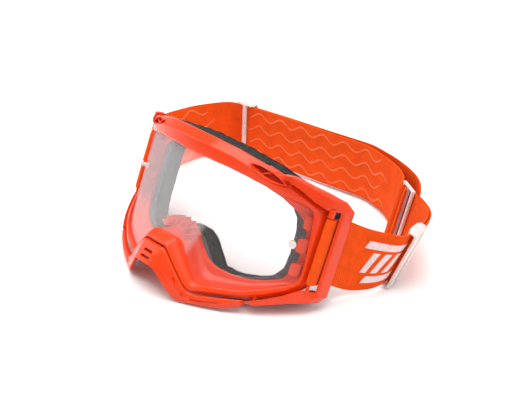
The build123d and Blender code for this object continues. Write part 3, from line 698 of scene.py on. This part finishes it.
def build_guard():
    whole = [(-s[0], s[1], s[2], -s[3], s[4], s[5]) for s in reversed(GUARD[1:])] + GUARD
    rows = sample(whole, 0.7, 0.9, measure=2)
    top, low = rows[:, 0:2], rows[:, 3:5]
    top_depth, low_depth = rows[:, 2], rows[:, 5]
    wing = 1 / (1 + np.exp(-(np.abs(rows[:, 0]) - 29.0) / 1.2))

    def at(share, extra):
        share = np.asarray(share, float).reshape(-1, 1) * np.ones((len(rows), 1))
        depth = top_depth * (1 - share[:, 0]) + low_depth * share[:, 0] + extra
        return layer(top * (1 - share) + low * share, depth)

    corners = [
        at(0.0, 2.4),
        at(0.0, 0.3),
        at(0.05 + 0.02 * wing, -0.5),
        at(0.42, -0.7 - 0.5 * wing),
        at(0.60, -0.2 + 0.4 * wing),
        at(0.97, 0.1 + 1.3 * wing),
        at(1.0, 1.4 + 0.6 * wing),
        at(0.97, 3.2),
        at(0.5, 3.4),
    ]
    rings = fillet(np.stack(corners, 1), [0.4, 0.35, 0.4, 0.9, 0.9, 0.4, 0.35, 0.5, 0.5])
    guard = loft("nose_guard_shell", rings, plastic_guard, body="nose_guard")
    cutters = []
    for z in (-32.6, -36.8):
        cutters.append(prism(rounded_box(0, z, 8.4, 1.9, 0.7), -30.0, -4.0))
    for side in (1, -1):
        long_slot = [(33.5, -52.2), (47, -48.6), (52.5, -46.6), (51.6, -48.3), (45, -50.4), (34.5, -53.6)]
        cutters.append(prism(np.array(long_slot) * (side, 1), -14.0, -4.6))
        notch = [(27.4, -50.4), (31.4, -52.0), (28.6, -54.8)]
        cutters.append(prism(np.array(notch) * (side, 1), -14.0, -6.1))
        slit = [(20.4, -43.0), (21.3, -42.4), (25.2, -47.4), (24.3, -48.2)]
        cutters.append(prism(np.array(slit) * (side, 1), -16.0, -8.6))
    cut_away(guard, cutters)
    finish_mesh(guard, plastic_guard)
    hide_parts("nose_guard")


# ---- Face foam ----
# Foam stations: outer edge x and z, opening x and z.
FOAM = [
    (0, 49.6, 0, 34.8),
    (15.6, 49.6, 21, 34.6),
    (40, 46.6, 38, 32.2),
    (58, 41, 50.4, 27.8),
    (72, 35, 57.2, 21.6),
    (79.6, 27, 60.3, 13.4),
    (80.8, 18, 61.6, 6),
    (80.8, -6, 62.3, -5),
    (80.4, -19, 61.4, -14.6),
    (75.5, -27, 57.6, -21.6),
    (59, -36, 48, -26.2),
    (42, -40.3, 34, -29.6),
    (29, -41.4, 24, -28.6),
    (19, -31.4, 17.6, -20.2),
    (11.6, -23, 13.0, -14.4),
    (6, -22.4, 6.8, -10.8),
    (0, -22.4, 0, -10.4),
]


PRESSED_BACK = 0.3  # the share of its width by which the foam's soft inner edge is drawn back


def build_foam():
    rows = sample(both_sides(FOAM, (0, 2)), 1.0, 1.6, closed=True)
    rows[:, 2:4] = between(rows, 1 - PRESSED_BACK)
    width = np.linalg.norm(rows[:, 2:4] - rows[:, 0:2], axis=1)

    def at(inset, depth):
        share = inset / width if inset >= 0 else 1 + inset / width
        return layer(between(rows, share), depth)

    for name, material, low, high, inset, round_off in (
        ("foam_base", foam_grey, 16.1, 20.2, 0.7, 0.5),
        ("foam_core", foam_dark, 20.1, 30.2, 0.1, 1.2),
        ("foam_face", fleece, 30.1, 33.0, 0.2, 1.3),
    ):
        mid = (low + high) / 2
        corners = [at(inset, low), at(inset + 0.01, mid), at(inset, high),
                   at(-inset - 0.01, high), at(-inset - 0.3, mid), at(-inset - 0.01, low)]
        rings = fillet(np.stack(corners, 1), [round_off, 0.6, round_off, round_off, 0.6, round_off])
        pad = loft(name + "_pad", rings, material, closed=True, sharp=60)
        roughen(pad, 0.22 if name != "foam_base" else 0.12, 3.1)
        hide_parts(name)
    fuzz(rows, width)


def roughen(piece, amount, scale):
    """Moves vertices a little along their normals by a smooth repeatable pattern, in millimetres."""
    mesh = piece.data
    count = len(mesh.vertices)
    co = np.empty(count * 3)
    no = np.empty(count * 3)
    mesh.vertices.foreach_get("co", co)
    mesh.vertices.foreach_get("normal", no)
    co, no = co.reshape(-1, 3), no.reshape(-1, 3)
    q = co * 1000 / scale
    wave = np.sin(q[:, 0] * 1.7 + 1.3 * np.sin(q[:, 1] * 2.1)) * np.sin(q[:, 1] * 1.9 + q[:, 2] * 1.1)
    wave += 0.5 * np.sin(q[:, 2] * 3.7 + q[:, 0] * 2.9)
    mesh.vertices.foreach_set("co", (co + no * (wave * amount / 1000)[:, None]).ravel())
    mesh.update()


def fuzz(rows, width):
    """Short fibres standing off the fleece round its inner edge."""
    rng = np.random.default_rng(7)
    points, faces = [], []
    for _ in range(9000):
        i = rng.integers(len(rows))
        inset = rng.uniform(-0.4, 1.8)
        depth = rng.uniform(30.4, 33.0)
        share = 1 - inset / width[i] if inset > 0 else 1.0
        root = rows[i, 0:2] * (1 - share) + rows[i, 2:4] * share
        inward = (rows[i, 2:4] - rows[i, 0:2]) / width[i]
        start = np.array((root[0], float(wrap(root[0])) + depth, root[1]))
        lean = rng.normal(0, 0.55, 3)
        way = np.array((inward[0], 0.1, inward[1])) + lean
        way /= np.linalg.norm(way)
        long = rng.uniform(0.35, 0.95)
        aside = np.cross(way, rng.normal(0, 1, 3))
        aside *= 0.055 / np.linalg.norm(aside)
        bend = start + way * long * 0.6 + rng.normal(0, 0.08, 3)
        tip = start + way * long + rng.normal(0, 0.16, 3)
        base = len(points)
        points += [start - aside, start + aside, bend + aside * 0.8, bend - aside * 0.8, tip]
        faces += [(base, base + 1, base + 2, base + 3), (base + 3, base + 2, base + 4)]
    nap = add_mesh("foam_face_nap", row(points), faces, fleece, 180)


def build_vent_foam():
    for name, x0, x1, top in (("vent_foam_top", -46, 46, True), ("vent_foam_bottom_left", 35, 52, False),
                              ("vent_foam_bottom_right", -52, -35, False)):
        spine = []
        for x in np.linspace(x0 + 0.3, x1 - 0.3, 60):
            outer = [(s[2], s[3]) for s in SKIRT if (s[3] > 0) == top]
            outer = sorted((abs(a), b) for a, b in outer)
            z = float(np.interp(abs(x), [a for a, _ in outer], [b for _, b in outer]))
            sign = 1 if top else -1
            front, back = wrap(x) + 4.6, wrap(x) + 13.6
            spine.append([(x, front, z + sign * 0.1), (x, front, z + sign * 1.9),
                          (x, back, z + sign * 1.9), (x, back, z + sign * 0.1)])
        strip = loft(name + "_strip", fillet(np.array(spine), 0.6), foam_dark, sharp=60)
        roughen(strip, 0.1, 2.3)
        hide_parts(name)


# ---- Outriggers ----
ARM_LEAD, ARM_BACK = -4.5, 2.4
LOOP_RADIUS = 2.4
LOOP_GAP = 0.35
BAR_X = HALF + LOOP_GAP + LOOP_RADIUS
BAR_Y = LENS_RADIUS - sqrt((LENS_RADIUS - ARM_LEAD) ** 2 - BAR_X**2) + 1.7
OUTER_X = BAR_X + LOOP_RADIUS + LOOP_GAP
TIP_X = OUTER_X + 2.2
OUTER_Y = LENS_RADIUS - sqrt((LENS_RADIUS - ARM_LEAD) ** 2 - TIP_X**2)
OUTER_WIDTH = 11.5
ARM_TOP = [(63.9, 46.0, 64.0, 44.3), (67.5, 46.3, 67.0, 42.8), (75, 44.2, 75, 39.4), (83, 41.9, 82, 34.9),
           (90.0, 38.6, 87.5, 32.0)]
ARM_LOW = [(91.0, -31.2, 87.5, -23.3), (84, -34.2, 80.6, -30.1), (76, -38.4, 74.6, -34.6),
           (69.5, -41.8, 68.6, -38.6), (64.0, -42.3, 64.2, -40.9)]


def arm_sections():
    """Four corners per station round the C of one outrigger, from the outer front to the outer back."""

    def shell(x, depth):
        radius = LENS_RADIUS - depth
        return LENS_RADIUS - sqrt(radius**2 - x**2)

    def arm(stations):
        for ox, oz, ix, iz in stations:
            yield [(ox, shell(ox, ARM_LEAD) + 0.9, oz), (ix, shell(ix, ARM_LEAD), iz),
                   (ix, shell(ix, ARM_BACK), iz), (ox, shell(ox, ARM_BACK), oz)]

    def bar(z, ends=0.0):
        low, high = OUTER_Y, OUTER_Y + OUTER_WIDTH - 0.2
        return [(TIP_X, low + 1.0, z + ends), (OUTER_X, low - 1.0, z), (OUTER_X, high, z),
                (TIP_X, high - 0.6, z + ends)]

    yield from arm(ARM_TOP)
    yield bar(31.8, 2.0)
    yield bar(30.0, 0.6)
    yield bar(4.0)
    yield bar(-21.6, -1.0)
    yield bar(-23.2, -2.6)
    yield from arm(ARM_LOW)


def build_outriggers():
    sections = np.array(list(arm_sections()))
    flat = sections.reshape(len(sections), -1)
    rows = sample(flat, 0.7, 1.0, measure=12)
    rings = rows.reshape(len(rows), 4, 3)
    for side, tag in ((1, "left"), (-1, "right")):
        turned = rings * np.array((side, 1, 1))
        arm = loft("outrigger_arm_" + tag, fillet(turned, [1.0, 0.8, 0.7, 0.8]), plastic_arm,
                   body="outrigger_" + tag)
        cutters = []
        for share in (0.26, 0.5, 0.74):
            groove = []
            lane = rings[:, 0] * (1 - share) + rings[:, 1] * share
            for i in range(5, 26):
                x, y, z = lane[i]
                deep = 0.38 * sin(pi * (i - 5) / 20)
                groove.append([(x * side, y - 2.0, z - 0.42), (x * side, y - 2.0, z + 0.42),
                               (x * side, y + deep, z + 0.12), (x * side, y + deep, z - 0.12)])
            cutter = loft("cutter", np.array(groove), plastic_arm, body=None)
            cutters.append(cutter)
        cut_away(arm, cutters)
        finish_mesh(arm, plastic_arm)
        turned_bar = [(1.3, -24.5), (1.3, -22.6), (BAR_RADIUS, -22.0), (BAR_RADIUS, 26.8), (2.2, 27.4),
                      (2.2, 33.2)]
        bar = lathe("outrigger_bar_" + tag, turned_bar,
                    (side * BAR_X, BAR_Y, 0), (0, 0, 1), plastic_arm, body="outrigger_" + tag)
        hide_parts("outrigger_" + tag)
        for z, way, tag_z in ((41.9, -1, "top"), (-39.2, 1, "low")):
            pivot = lathe("outrigger_pivot_%s_%s" % (tag_z, tag),
                          [(1.6, -1.0), (1.6, 0.6), (1.1, 0.8), (1.1, 3.0), (0.8, 3.3)],
                          (side * HINGE_X, HINGE_Y, z), (0, 0, way), plastic_arm, body="outrigger_" + tag)


# ---- Strap ----
# Row-frame millimetres. A stop is x, y, the height of the lower edge, how far the band leans and which way.
LENS_MIDDLE = ORIGIN
CAP = 2.6
FAR_HEADING, NEAR_HEADING = 11.0, 103.0
FAR_SLIDER = (LENS_MIDDLE[0] - 111.0, LENS_MIDDLE[1] + 163.4)
NEAR_SLIDER = (LENS_MIDDLE[0] + 108.0, LENS_MIDDLE[1] + 104.3)
NEAR_LEAN = (20.6, NEAR_HEADING - 90)
NEAR_RISE = CAP + 2.2
RING_HEADING = -30.0
RING_LEAN = (12, RING_HEADING + 90)
RING_RISE = CAP + 0.7
RING_PITCH = 7.8
RING_RADIUS = 1.7
FOLD_RADIUS = RING_RADIUS + 0.2 + STRAP_THICKNESS / 2
FOLD_TAIL = 2.0


def along(start, heading, distance):
    return (start[0] + distance * cos(radians(heading)), start[1] + distance * sin(radians(heading)))


RING_START = (LENS_MIDDLE[0] + 64.8, LENS_MIDDLE[1] + 149.2)
RING_BARS = [along(RING_START, RING_HEADING, RING_PITCH * k) for k in range(3)]


def seen(x, y, rise, lean=0, compass=0):
    return (LENS_MIDDLE[0] + x, LENS_MIDDLE[1] + y, rise, lean, compass)


def stop_row(x, y, rise, lean, compass):
    """Centre and width direction of one stop."""
    side = sin(radians(lean))
    width = (side * cos(radians(compass)), side * sin(radians(compass)), cos(radians(lean)))
    return (x, y, rise + STRAP_WIDTH / 2 * width[2], *width)


def goggle_stop(x, y):
    """A stop upright in the goggles' own axes, where the strap hangs on the outrigger."""
    centre = row((x, y, STRAP_HEIGHT)) * 1000
    return (*centre, *UP)


def beside_bar(bar, ahead, outside):
    """A stop near a ring bar: ahead along the ring's heading, and outside it."""
    spot = along(along(bar, RING_HEADING, ahead), RING_HEADING + 90, outside * cos(radians(RING_LEAN[0])))
    return stop_row(*spot, RING_RISE - outside * sin(radians(RING_LEAN[0])), *RING_LEAN)


def fold_rows(bar, first_angle):
    """Rows round half of a ring bar, with a short tail after them."""
    turns = [radians(first_angle + 22.5 * step) for step in range(9)]
    rows = [beside_bar(bar, FOLD_RADIUS * cos(turn), FOLD_RADIUS * sin(turn)) for turn in turns]
    rows.append(beside_bar(bar, -FOLD_TAIL * sin(turns[-1]), FOLD_RADIUS * sin(turns[-1])))
    return rows


def loop_rows(side):
    """The sewn end: up the inside, round the bar and back along the outside."""
    plan = [(-0.85, 15.5), (-0.85, 8), (-1.2, 3.2), (-1.8, 0.6)]
    plan += [(1.85 * cos(radians(angle)), 1.85 * sin(radians(angle))) for angle in range(195, 350, 22)]
    plan += [(1.8, 0.8), (1.3, 3.4), (0.87, 7), (0.85, 13.5)]
    return [goggle_stop(side * (BAR_X + dx), BAR_Y + dy) for dx, dy in plan]


def ribbon_rows(stops, step=1.2, soften=2.6, loose=None):
    """Evenly spaced centres, width directions and outward sides along a band.

    loose is (start, stop, soften): the stretch, measured from each end, that bends in longer curves.
    """
    rows = sample(stops, step, soften, measure=3)
    if loose:
        run = np.arange(len(rows)) * step
        wide = soften_rows(rows, step, loose[2], False)
        inside = np.clip((run - loose[0]) / 10, 0, 1) * np.clip((run[-1] - loose[1] - run) / 10, 0, 1)
        inside = (inside * inside * (3 - 2 * inside))[:, None]
        rows = rows * (1 - inside) + wide * inside
    centre = rows[:, 0:3]
    travel = np.gradient(centre, axis=0)
    width = rows[:, 3:6] / np.linalg.norm(rows[:, 3:6], axis=1, keepdims=True)
    side = np.cross(travel, width)
    side /= np.linalg.norm(side, axis=1, keepdims=True)
    return centre, width, side


EDGE_ROUNDING = 1.2


def strap_mesh(name, guide, material, body="frame"):
    """A band along its guide, slimmer towards both edges."""
    centre, width, side = guide
    half, lanes = STRAP_WIDTH / 2, 15
    across = [-half + STRAP_WIDTH * k / lanes for k in range(lanes + 1)]
    rings = []
    for w, face in [(w, 0.5) for w in across] + [(w, -0.5) for w in reversed(across)]:
        edge = half - abs(w)
        slim = 0.5 + 0.5 * min(1.0, edge / EDGE_ROUNDING + 0.25) if edge < EDGE_ROUNDING else 1.0
        rings.append(centre + width * w + side * (face * STRAP_THICKNESS * slim))
    rings = np.stack(rings, 1)
    piece = loft(name, rings, material, sharp=50, body=body, place=millimetres)
    lay_uv(piece, centre, rings.shape[1])
    return piece


def lay_uv(piece, centre, corners):
    """UVs in metres: u along the band, v round its section."""
    run = np.concatenate([[0], np.cumsum(np.linalg.norm(np.diff(centre, axis=0), axis=1))]) / 1000
    layer_uv = piece.data.uv_layers.new(name="UVMap")
    lanes = corners // 2
    for loop in piece.data.loops:
        ring, corner = divmod(loop.vertex_index, corners)
        across = corner if corner < lanes else corners - 1 - corner
        layer_uv.data[loop.index].uv = (run[ring], across / (lanes - 1) * STRAP_WIDTH / 1000)


def far_stops():
    line = [goggle_stop(-BAR_X, BAR_Y + 20), goggle_stop(-BAR_X, BAR_Y + 24)]
    start = goggle_stop(BAR_X, BAR_Y + 14)[2] - STRAP_WIDTH / 2 * UP[2]
    line += [stop_row(*stop) for stop in (
        seen(-94.5, 68, start - 6, 18, 115),
        seen(-105, 73, start - 8, 18, 140),
        seen(-120, 77.5, 6, 20, 160),
        seen(-131, 86.5, 4, 20, 170),
        seen(-135.5, 104, CAP + 1, 18, 178),
        seen(-135.5, 130, CAP, 10, 175),
        seen(-130.0, 150, CAP, 3, 175),
        (*along(FAR_SLIDER, FAR_HEADING, -14), CAP, 0, 0),
        (*along(FAR_SLIDER, FAR_HEADING, -11), CAP, 0, 0),
        (*along(FAR_SLIDER, FAR_HEADING, 46), CAP, 0, 0),
        seen(-26.5, 177, CAP, 0, 0),
        seen(7, 182.5, CAP, 0, 0),
        seen(29, 177, CAP, 0, 0),
        seen(41, 172, CAP, 3, 60),
        seen(52, 165, CAP, 7, 60),
        seen(58.6, 156.6, RING_RISE, 10, 60),
        seen(60.9, 150.2, RING_RISE, *RING_LEAN),
    )]
    return line + fold_rows(RING_BARS[0], -90)


def near_stops():
    line = [goggle_stop(BAR_X, BAR_Y + 19)]
    line += [stop_row(*stop) for stop in (
        seen(93, 76, 4.5, 20, 80),
        seen(100.6, 82.5, CAP + 1, 18, 57),
        seen(107.2, 87.6, CAP + 1.6, 20, 40),
        (*along(NEAR_SLIDER, NEAR_HEADING, -13), NEAR_RISE, *NEAR_LEAN),
        (*along(NEAR_SLIDER, NEAR_HEADING, 9), NEAR_RISE, *NEAR_LEAN),
        seen(102.4, 126.5, NEAR_RISE - 0.5, 18, 35),
        seen(94.5, 134.5, RING_RISE + 0.4, 16, 50),
        seen(86.4, 139.7, RING_RISE, *RING_LEAN),
    )]
    line.append(beside_bar(RING_BARS[2], 3.0, FOLD_RADIUS))
    return line + fold_rows(RING_BARS[1], 90)


def nearest(centre, point):
    return int(np.argmin(np.linalg.norm(centre[:, :2] - np.array(point[:2]), axis=1)))


def return_guides(near):
    """The outer layer: on the near strap as far as the ring, then bowed out and on to the far slider."""
    centre, width, side = near
    first = nearest(centre, along(NEAR_SLIDER, NEAR_HEADING, -4))
    last = nearest(centre, beside_bar(RING_BARS[2], 2.5, FOLD_RADIUS))
    part = slice(first, last)
    near_return = (centre[part] + side[part] * LAYER_GAP, width[part], side[part])
    out = np.array((cos(radians(FAR_HEADING + 90)), sin(radians(FAR_HEADING + 90))))
    stops = [beside_bar(RING_BARS[2], 2.0, FOLD_RADIUS + LAYER_GAP + 0.1)]
    stops += [stop_row(*stop) for stop in (
        seen(78.8, 150.2, RING_RISE, 11, 45),
        seen(71, 160.6, RING_RISE, 9, 50),
        seen(62.8, 168.2, CAP + 0.4, 6, 60),
        seen(50.5, 175.5, CAP, 3, 70),
        seen(34, 182, CAP),
        seen(7.5, 186.5, CAP),
        seen(-26.5, 180.2, CAP),
    )]
    for distance in (40, -4):
        point = np.array(along(FAR_SLIDER, FAR_HEADING, distance)) + out * LAYER_GAP
        stops.append(stop_row(*point, CAP, 0, 0))
    return near_return, ribbon_rows(stops, 1.2, 1.5, (0, 0, 5.0))


def build_straps():
    guides = {}
    for tag, side, stops in (("right", -1, far_stops()), ("left", 1, near_stops())):
        guide = ribbon_rows(loop_rows(side)[:-1] + stops, 0.9, 1.0, (36, 22, 5.0))
        piece = strap_mesh("strap_band_" + tag, guide, strap_cloth, body=None)
        hinge = goggle_stop(side * BAR_X, BAR_Y)
        end = goggle_stop(side * BAR_X, BAR_Y + 30)
        tuple(np.array(hinge[:3]) / 1000)
        tuple(np.array(end[:3]) / 1000)
        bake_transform(piece)
        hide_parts("strap_" + tag, "strap_loop_" + tag)
        guides[tag] = guide
    for tag, guide in zip(("left", "right"), return_guides(guides["left"])):
        piece = strap_mesh("strap_return_" + tag, guide, strap_cloth)
        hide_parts("strap_%s_return" % tag)
        guides["return_" + tag] = guide
    return guides


def on_band(guide, at, across, lift):
    """Points on a band: at along it, across its width, and lifted off its outer side, in millimetres."""
    centre, width, side = guide
    run = np.concatenate([[0], np.cumsum(np.linalg.norm(np.diff(centre, axis=0), axis=1))])
    c, w, s = (np.stack([np.interp(at, run, rows[:, j]) for j in range(3)], -1) for rows in guide)
    return c + w * np.asarray(across)[..., None] + s * np.asarray(lift)[..., None]


def build_print(guides):
    """Pale printed stripes and slanted bars on the outside of the near strap."""
    guide = guides["left"]
    run = np.concatenate([[0], np.cumsum(np.linalg.norm(np.diff(guide[0], axis=0), axis=1))])
    slider = run[nearest(guide[0], NEAR_SLIDER)]
    shapes = [(slider - 33, slider - 7, 9.5, 15.0, 2.0), (slider - 27, slider - 7, -16.5, -11.0, 2.0)]
    shapes += [(slider - 29 + 7.4 * k, slider - 24.8 + 7.4 * k, -8.5, 7.0, 4.5) for k in range(3)]
    sections = []
    for first, last, low, high, slant in shapes:
        corners = [(share, lift) for lift, shares in ((-0.1, (-0.5, 0, 0.5)), (0.12, (0.5, 0, -0.5)))
                   for share in shares]
        sections.append(np.stack([
            on_band(guide, np.linspace(first, last, 25) + slant * share,
                    np.full(25, (low + high) / 2 + (high - low) * share),
                    np.full(25, STRAP_THICKNESS / 2 + lift)) for share, lift in corners], 1))
    bundle("strap_print", sections, ink, 30, place=millimetres)


WAVE_HEIGHT, WAVE_LENGTH = 2.6, 21.0


def build_grip(guides):
    """Raised wavy rows on the inside of the far strap, and a few on the near one behind its slider."""
    profile = [(-0.8, 0.0), (-0.6, 0.26), (-0.2, 0.38), (0.2, 0.38), (0.6, 0.26), (0.8, 0.0)]
    lanes = (-17.0, -5.8, 5.4, 16.4)
    spans = [("right", 1, 104 + 5 * (n % 2), 152 - 6 * (n % 2), lane) for n, lane in enumerate(lanes)]
    spans += [("right", 1, 178 + 6 * (n % 2), 328 - 9 * (n % 2), lane) for n, lane in enumerate(lanes)]
    spans += [("left", -1, 84 + 3 * (n % 2), 97 - 2 * (n % 2), lane) for n, lane in enumerate(lanes)]
    sections = []
    for tag, face, start, stop, lane in spans:
        at = np.arange(start, stop, 0.7)
        wave = lane + WAVE_HEIGHT * np.sin(2 * pi * at / WAVE_LENGTH)
        slope = np.gradient(wave, at)
        taper = np.clip(np.minimum(at - start, stop - at) / 2.0, 0.15, 1)
        sections.append(np.stack([
            on_band(guides[tag], at, wave + dw * np.sqrt(1 + slope**2) * taper,
                    face * (STRAP_THICKNESS / 2 - 0.05 + h * taper)) for dw, h in profile], 1))
    bundle("grip_waves", sections, grip, 60, place=millimetres)


def build_stitching():
    """Rows of stitches across each sewn end, next to the outrigger."""
    turn = np.radians(np.arange(0, 360, 60))
    ring = 0.22 * np.column_stack([np.cos(turn), np.sin(turn), np.zeros(6)])
    for tag, side in (("right", -1), ("left", 1)):
        sections = []
        for dy in (10.5, 13.0):
            for k in range(19):
                z = STRAP_HEIGHT - 19.8 + k * 2.2
                for face in (1, -1):
                    spine = []
                    for u in np.arange(7) / 6 - 0.5:
                        swell = 0.132 * cos(u * pi) ** 0.5 if abs(u) < 0.5 else 0.0
                        spine.append((side * BAR_X + face * (1.72 + swell), BAR_Y + dy, z + u * 1.7))
                    sections.append(np.array(spine)[:, None] + ring)
        seam = bundle("strap_stitching_" + tag, sections, thread(), 60, "outrigger_" + tag)


# ---- Sliders and the ring ----
def moulded(name, boxes, place, body, nodes, voxel=0.32):
    """Blocks grown together into one soft-edged moulding; a block is its centre and size."""
    work = bmesh.new()
    for centre, size in boxes:
        matrix = Matrix.Translation(centre) @ Matrix.Diagonal((*size, 1))
        bmesh.ops.create_cube(work, size=1.0, matrix=matrix)
    mesh = bpy.data.meshes.new(name)
    work.to_mesh(mesh)
    work.free()
    piece = bpy.data.objects.new(name, mesh)
    bpy.context.collection.objects.link(piece)
    remesh = piece.modifiers.new("grow", "REMESH")
    remesh.mode = "VOXEL"
    remesh.voxel_size = voxel
    relax = piece.modifiers.new("relax", "SMOOTH")
    relax.factor = 0.5
    relax.iterations = 5
    apply_modifiers(piece)
    origin, x_axis, y_axis, z_axis = (np.array(v, float) for v in place)
    count = len(piece.data.vertices)
    co = np.empty(count * 3)
    piece.data.vertices.foreach_get("co", co)
    co = co.reshape(-1, 3)
    placed = origin + co[:, :1] * x_axis + co[:, 1:2] * y_axis + co[:, 2:3] * z_axis
    piece.data.vertices.foreach_set("co", (placed / 1000).ravel())
    piece.data.update()
    finish_mesh(piece, milky, 60)
    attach(piece, body)
    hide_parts(*nodes)
    return piece


SLIDER_LENGTH, PLATE = 17.0, 2.0
CAP_SIZE, SIDE_GAP = 2.2, 0.4
INNER_BAR, OUTER_BAR, RING_BAR = 3.4, 6.4, 2.2


def build_sliders():
    span = STRAP_WIDTH + 2 * SIDE_GAP
    tall, cap_at = span + CAP_SIZE, (span + CAP_SIZE) / 2
    inside, outside = STRAP_THICKNESS / 2, STRAP_THICKNESS / 2 + LAYER_GAP
    depth = inside + outside + 2 * SIDE_GAP + 2 * PLATE
    shift = (outside - inside) / 2
    inner_at, outer_at = -inside - SIDE_GAP - PLATE / 2, outside + SIDE_GAP + PLATE / 2
    caps = ((SLIDER_LENGTH - 5.0, CAP_SIZE - 0.6, depth - 0.8), (SLIDER_LENGTH, CAP_SIZE - 0.6, depth - 3.4))
    boxes = [((0, end * cap_at, shift), size) for size in caps for end in (-1, 1)]
    boxes.append(((0, 0, inner_at), (INNER_BAR, tall, PLATE)))
    out = (SLIDER_LENGTH - OUTER_BAR) / 2
    boxes += [((end * out, 0, outer_at), (OUTER_BAR, tall, PLATE)) for end in (-1, 1)]
    for tag, centre, rise, heading, lean in (
        ("right", FAR_SLIDER, CAP, FAR_HEADING + 180, (0, 0)),
        ("left", NEAR_SLIDER, NEAR_RISE, NEAR_HEADING, NEAR_LEAN),
    ):
        stop = np.array(stop_row(*centre, rise, *lean))
        width = stop[3:]
        travel = np.array((cos(radians(heading)), sin(radians(heading)), 0))
        side = np.cross(travel, width)
        side /= np.linalg.norm(side)
        axes = (stop[:3], np.cross(width, side), width, side)
        moulded("slider_body_" + tag, boxes, axes, "slider_" + tag, ["slider_" + tag])
    turn = radians(RING_HEADING)
    stop = np.array(beside_bar(RING_BARS[1], 0, 0))
    ahead = np.array((cos(turn), sin(turn), 0))
    ends = (2 * RING_PITCH + 2.4, CAP_SIZE - 0.4, 2.6)
    boxes = [((0, end * cap_at, 0), ends) for end in (-1, 1)]
    boxes += [((k * RING_PITCH, 0, 0), (RING_BAR, tall, 2.4)) for k in (-1, 0, 1)]
    axes = (stop[:3], ahead, stop[3:], np.cross(ahead, stop[3:]))
    moulded("strap_ring_body", boxes, axes, "frame", ["strap_ring"])


# ---- Floor, light and camera ----
def build_stage():
    """A pale sweep: flat floor that curves up far behind the object."""
    profile = [(-4.0, 0.0), (2.2, 0.0), (2.9, 0.06), (3.5, 0.3), (3.9, 0.8), (4.1, 1.6), (4.2, 4.2)]
    points = [(x, y, z) for x in (-6.0, 6.0) for y, z in profile]
    count = len(profile)
    faces = [(i, i + 1, count + i + 1, count + i) for i in range(count - 1)]
    shade = Shader("floor_white", Base_Color=(0.95, 0.945, 0.94, 1), Roughness=0.65, Specular_IOR_Level=0.2)
    grain = shade.noise(shade.coords(), 2.0, 2.0)
    shade.link(shade.ramp(grain, (0.3, (0.94, 0.935, 0.93)), (0.7, (0.96, 0.955, 0.95))), "Base Color")
    sweep = add_mesh("floor_sweep", points, faces, shade.material, 180, body=None)
    sweep.rotation_euler = (0, 0, radians(45))


def light(name, place, aim, size, power, colour=(1, 1, 1)):
    lamp = bpy.data.lights.new(name, "AREA")
    lamp.shape = "RECTANGLE"
    lamp.size, lamp.size_y = size
    lamp.energy = power
    lamp.color = colour
    piece = bpy.data.objects.new(name, lamp)
    piece.location = place
    piece.rotation_euler = (Vector(aim) - Vector(place)).to_track_quat("-Z", "Y").to_euler()
    bpy.context.collection.objects.link(piece)


def build_lights():
    world = bpy.data.worlds.new("studio")
    bpy.context.scene.world = world
    world.use_nodes = True
    world.node_tree.nodes["Background"].inputs["Color"].default_value = (1, 1, 1, 1)
    world.node_tree.nodes["Background"].inputs["Strength"].default_value = 0.5
    light("top_soft", (0.0, -0.1, 1.3), (0, 0, 0), (1.3, 1.3), 23)
    light("left_soft", (-1.3, -0.7, 0.8), (0, 0, 0.05), (1.1, 1.4), 9)
    light("right_soft", (1.2, 0.3, 0.9), (0, 0, 0.05), (0.8, 1.2), 5)


def build_camera():
    """The photographed view, set from the middle of the lens."""
    turn, height, roll = radians(45.45), radians(27.63), radians(2.27)
    lens_pixels, wide = 1055.1, 530
    away = np.array((479.3, -391.8, 326.1))
    back = Vector((sin(turn) * cos(height), -cos(turn) * cos(height), sin(height)))
    right = Vector((cos(turn), sin(turn), 0))
    up = back.cross(right)
    rolled = right * cos(roll) + up * sin(roll)
    upright = up * cos(roll) - right * sin(roll)
    data = bpy.data.cameras.new("camera")
    data.sensor_width = 36
    data.lens = lens_pixels / wide * 36
    data.clip_start, data.clip_end = 0.02, 20
    camera = bpy.data.objects.new("camera", data)
    matrix = Matrix((rolled, upright, back)).transposed().to_4x4()
    matrix.translation = Vector(tuple((ORIGIN + away) / 1000))
    camera.matrix_world = matrix
    bpy.context.collection.objects.link(camera)
    bpy.context.scene.camera = camera
    bpy.context.scene.view_settings.view_transform = "Standard"


build_rim()
build_vent_lips()
build_skirt()
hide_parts("frame")
build_lens()
build_posts()
build_guard()
build_foam()
build_vent_foam()
build_outriggers()
bands = build_straps()
build_grip(bands)
build_print(bands)
build_stitching()
build_sliders()
build_stage()
build_lights()
build_camera()
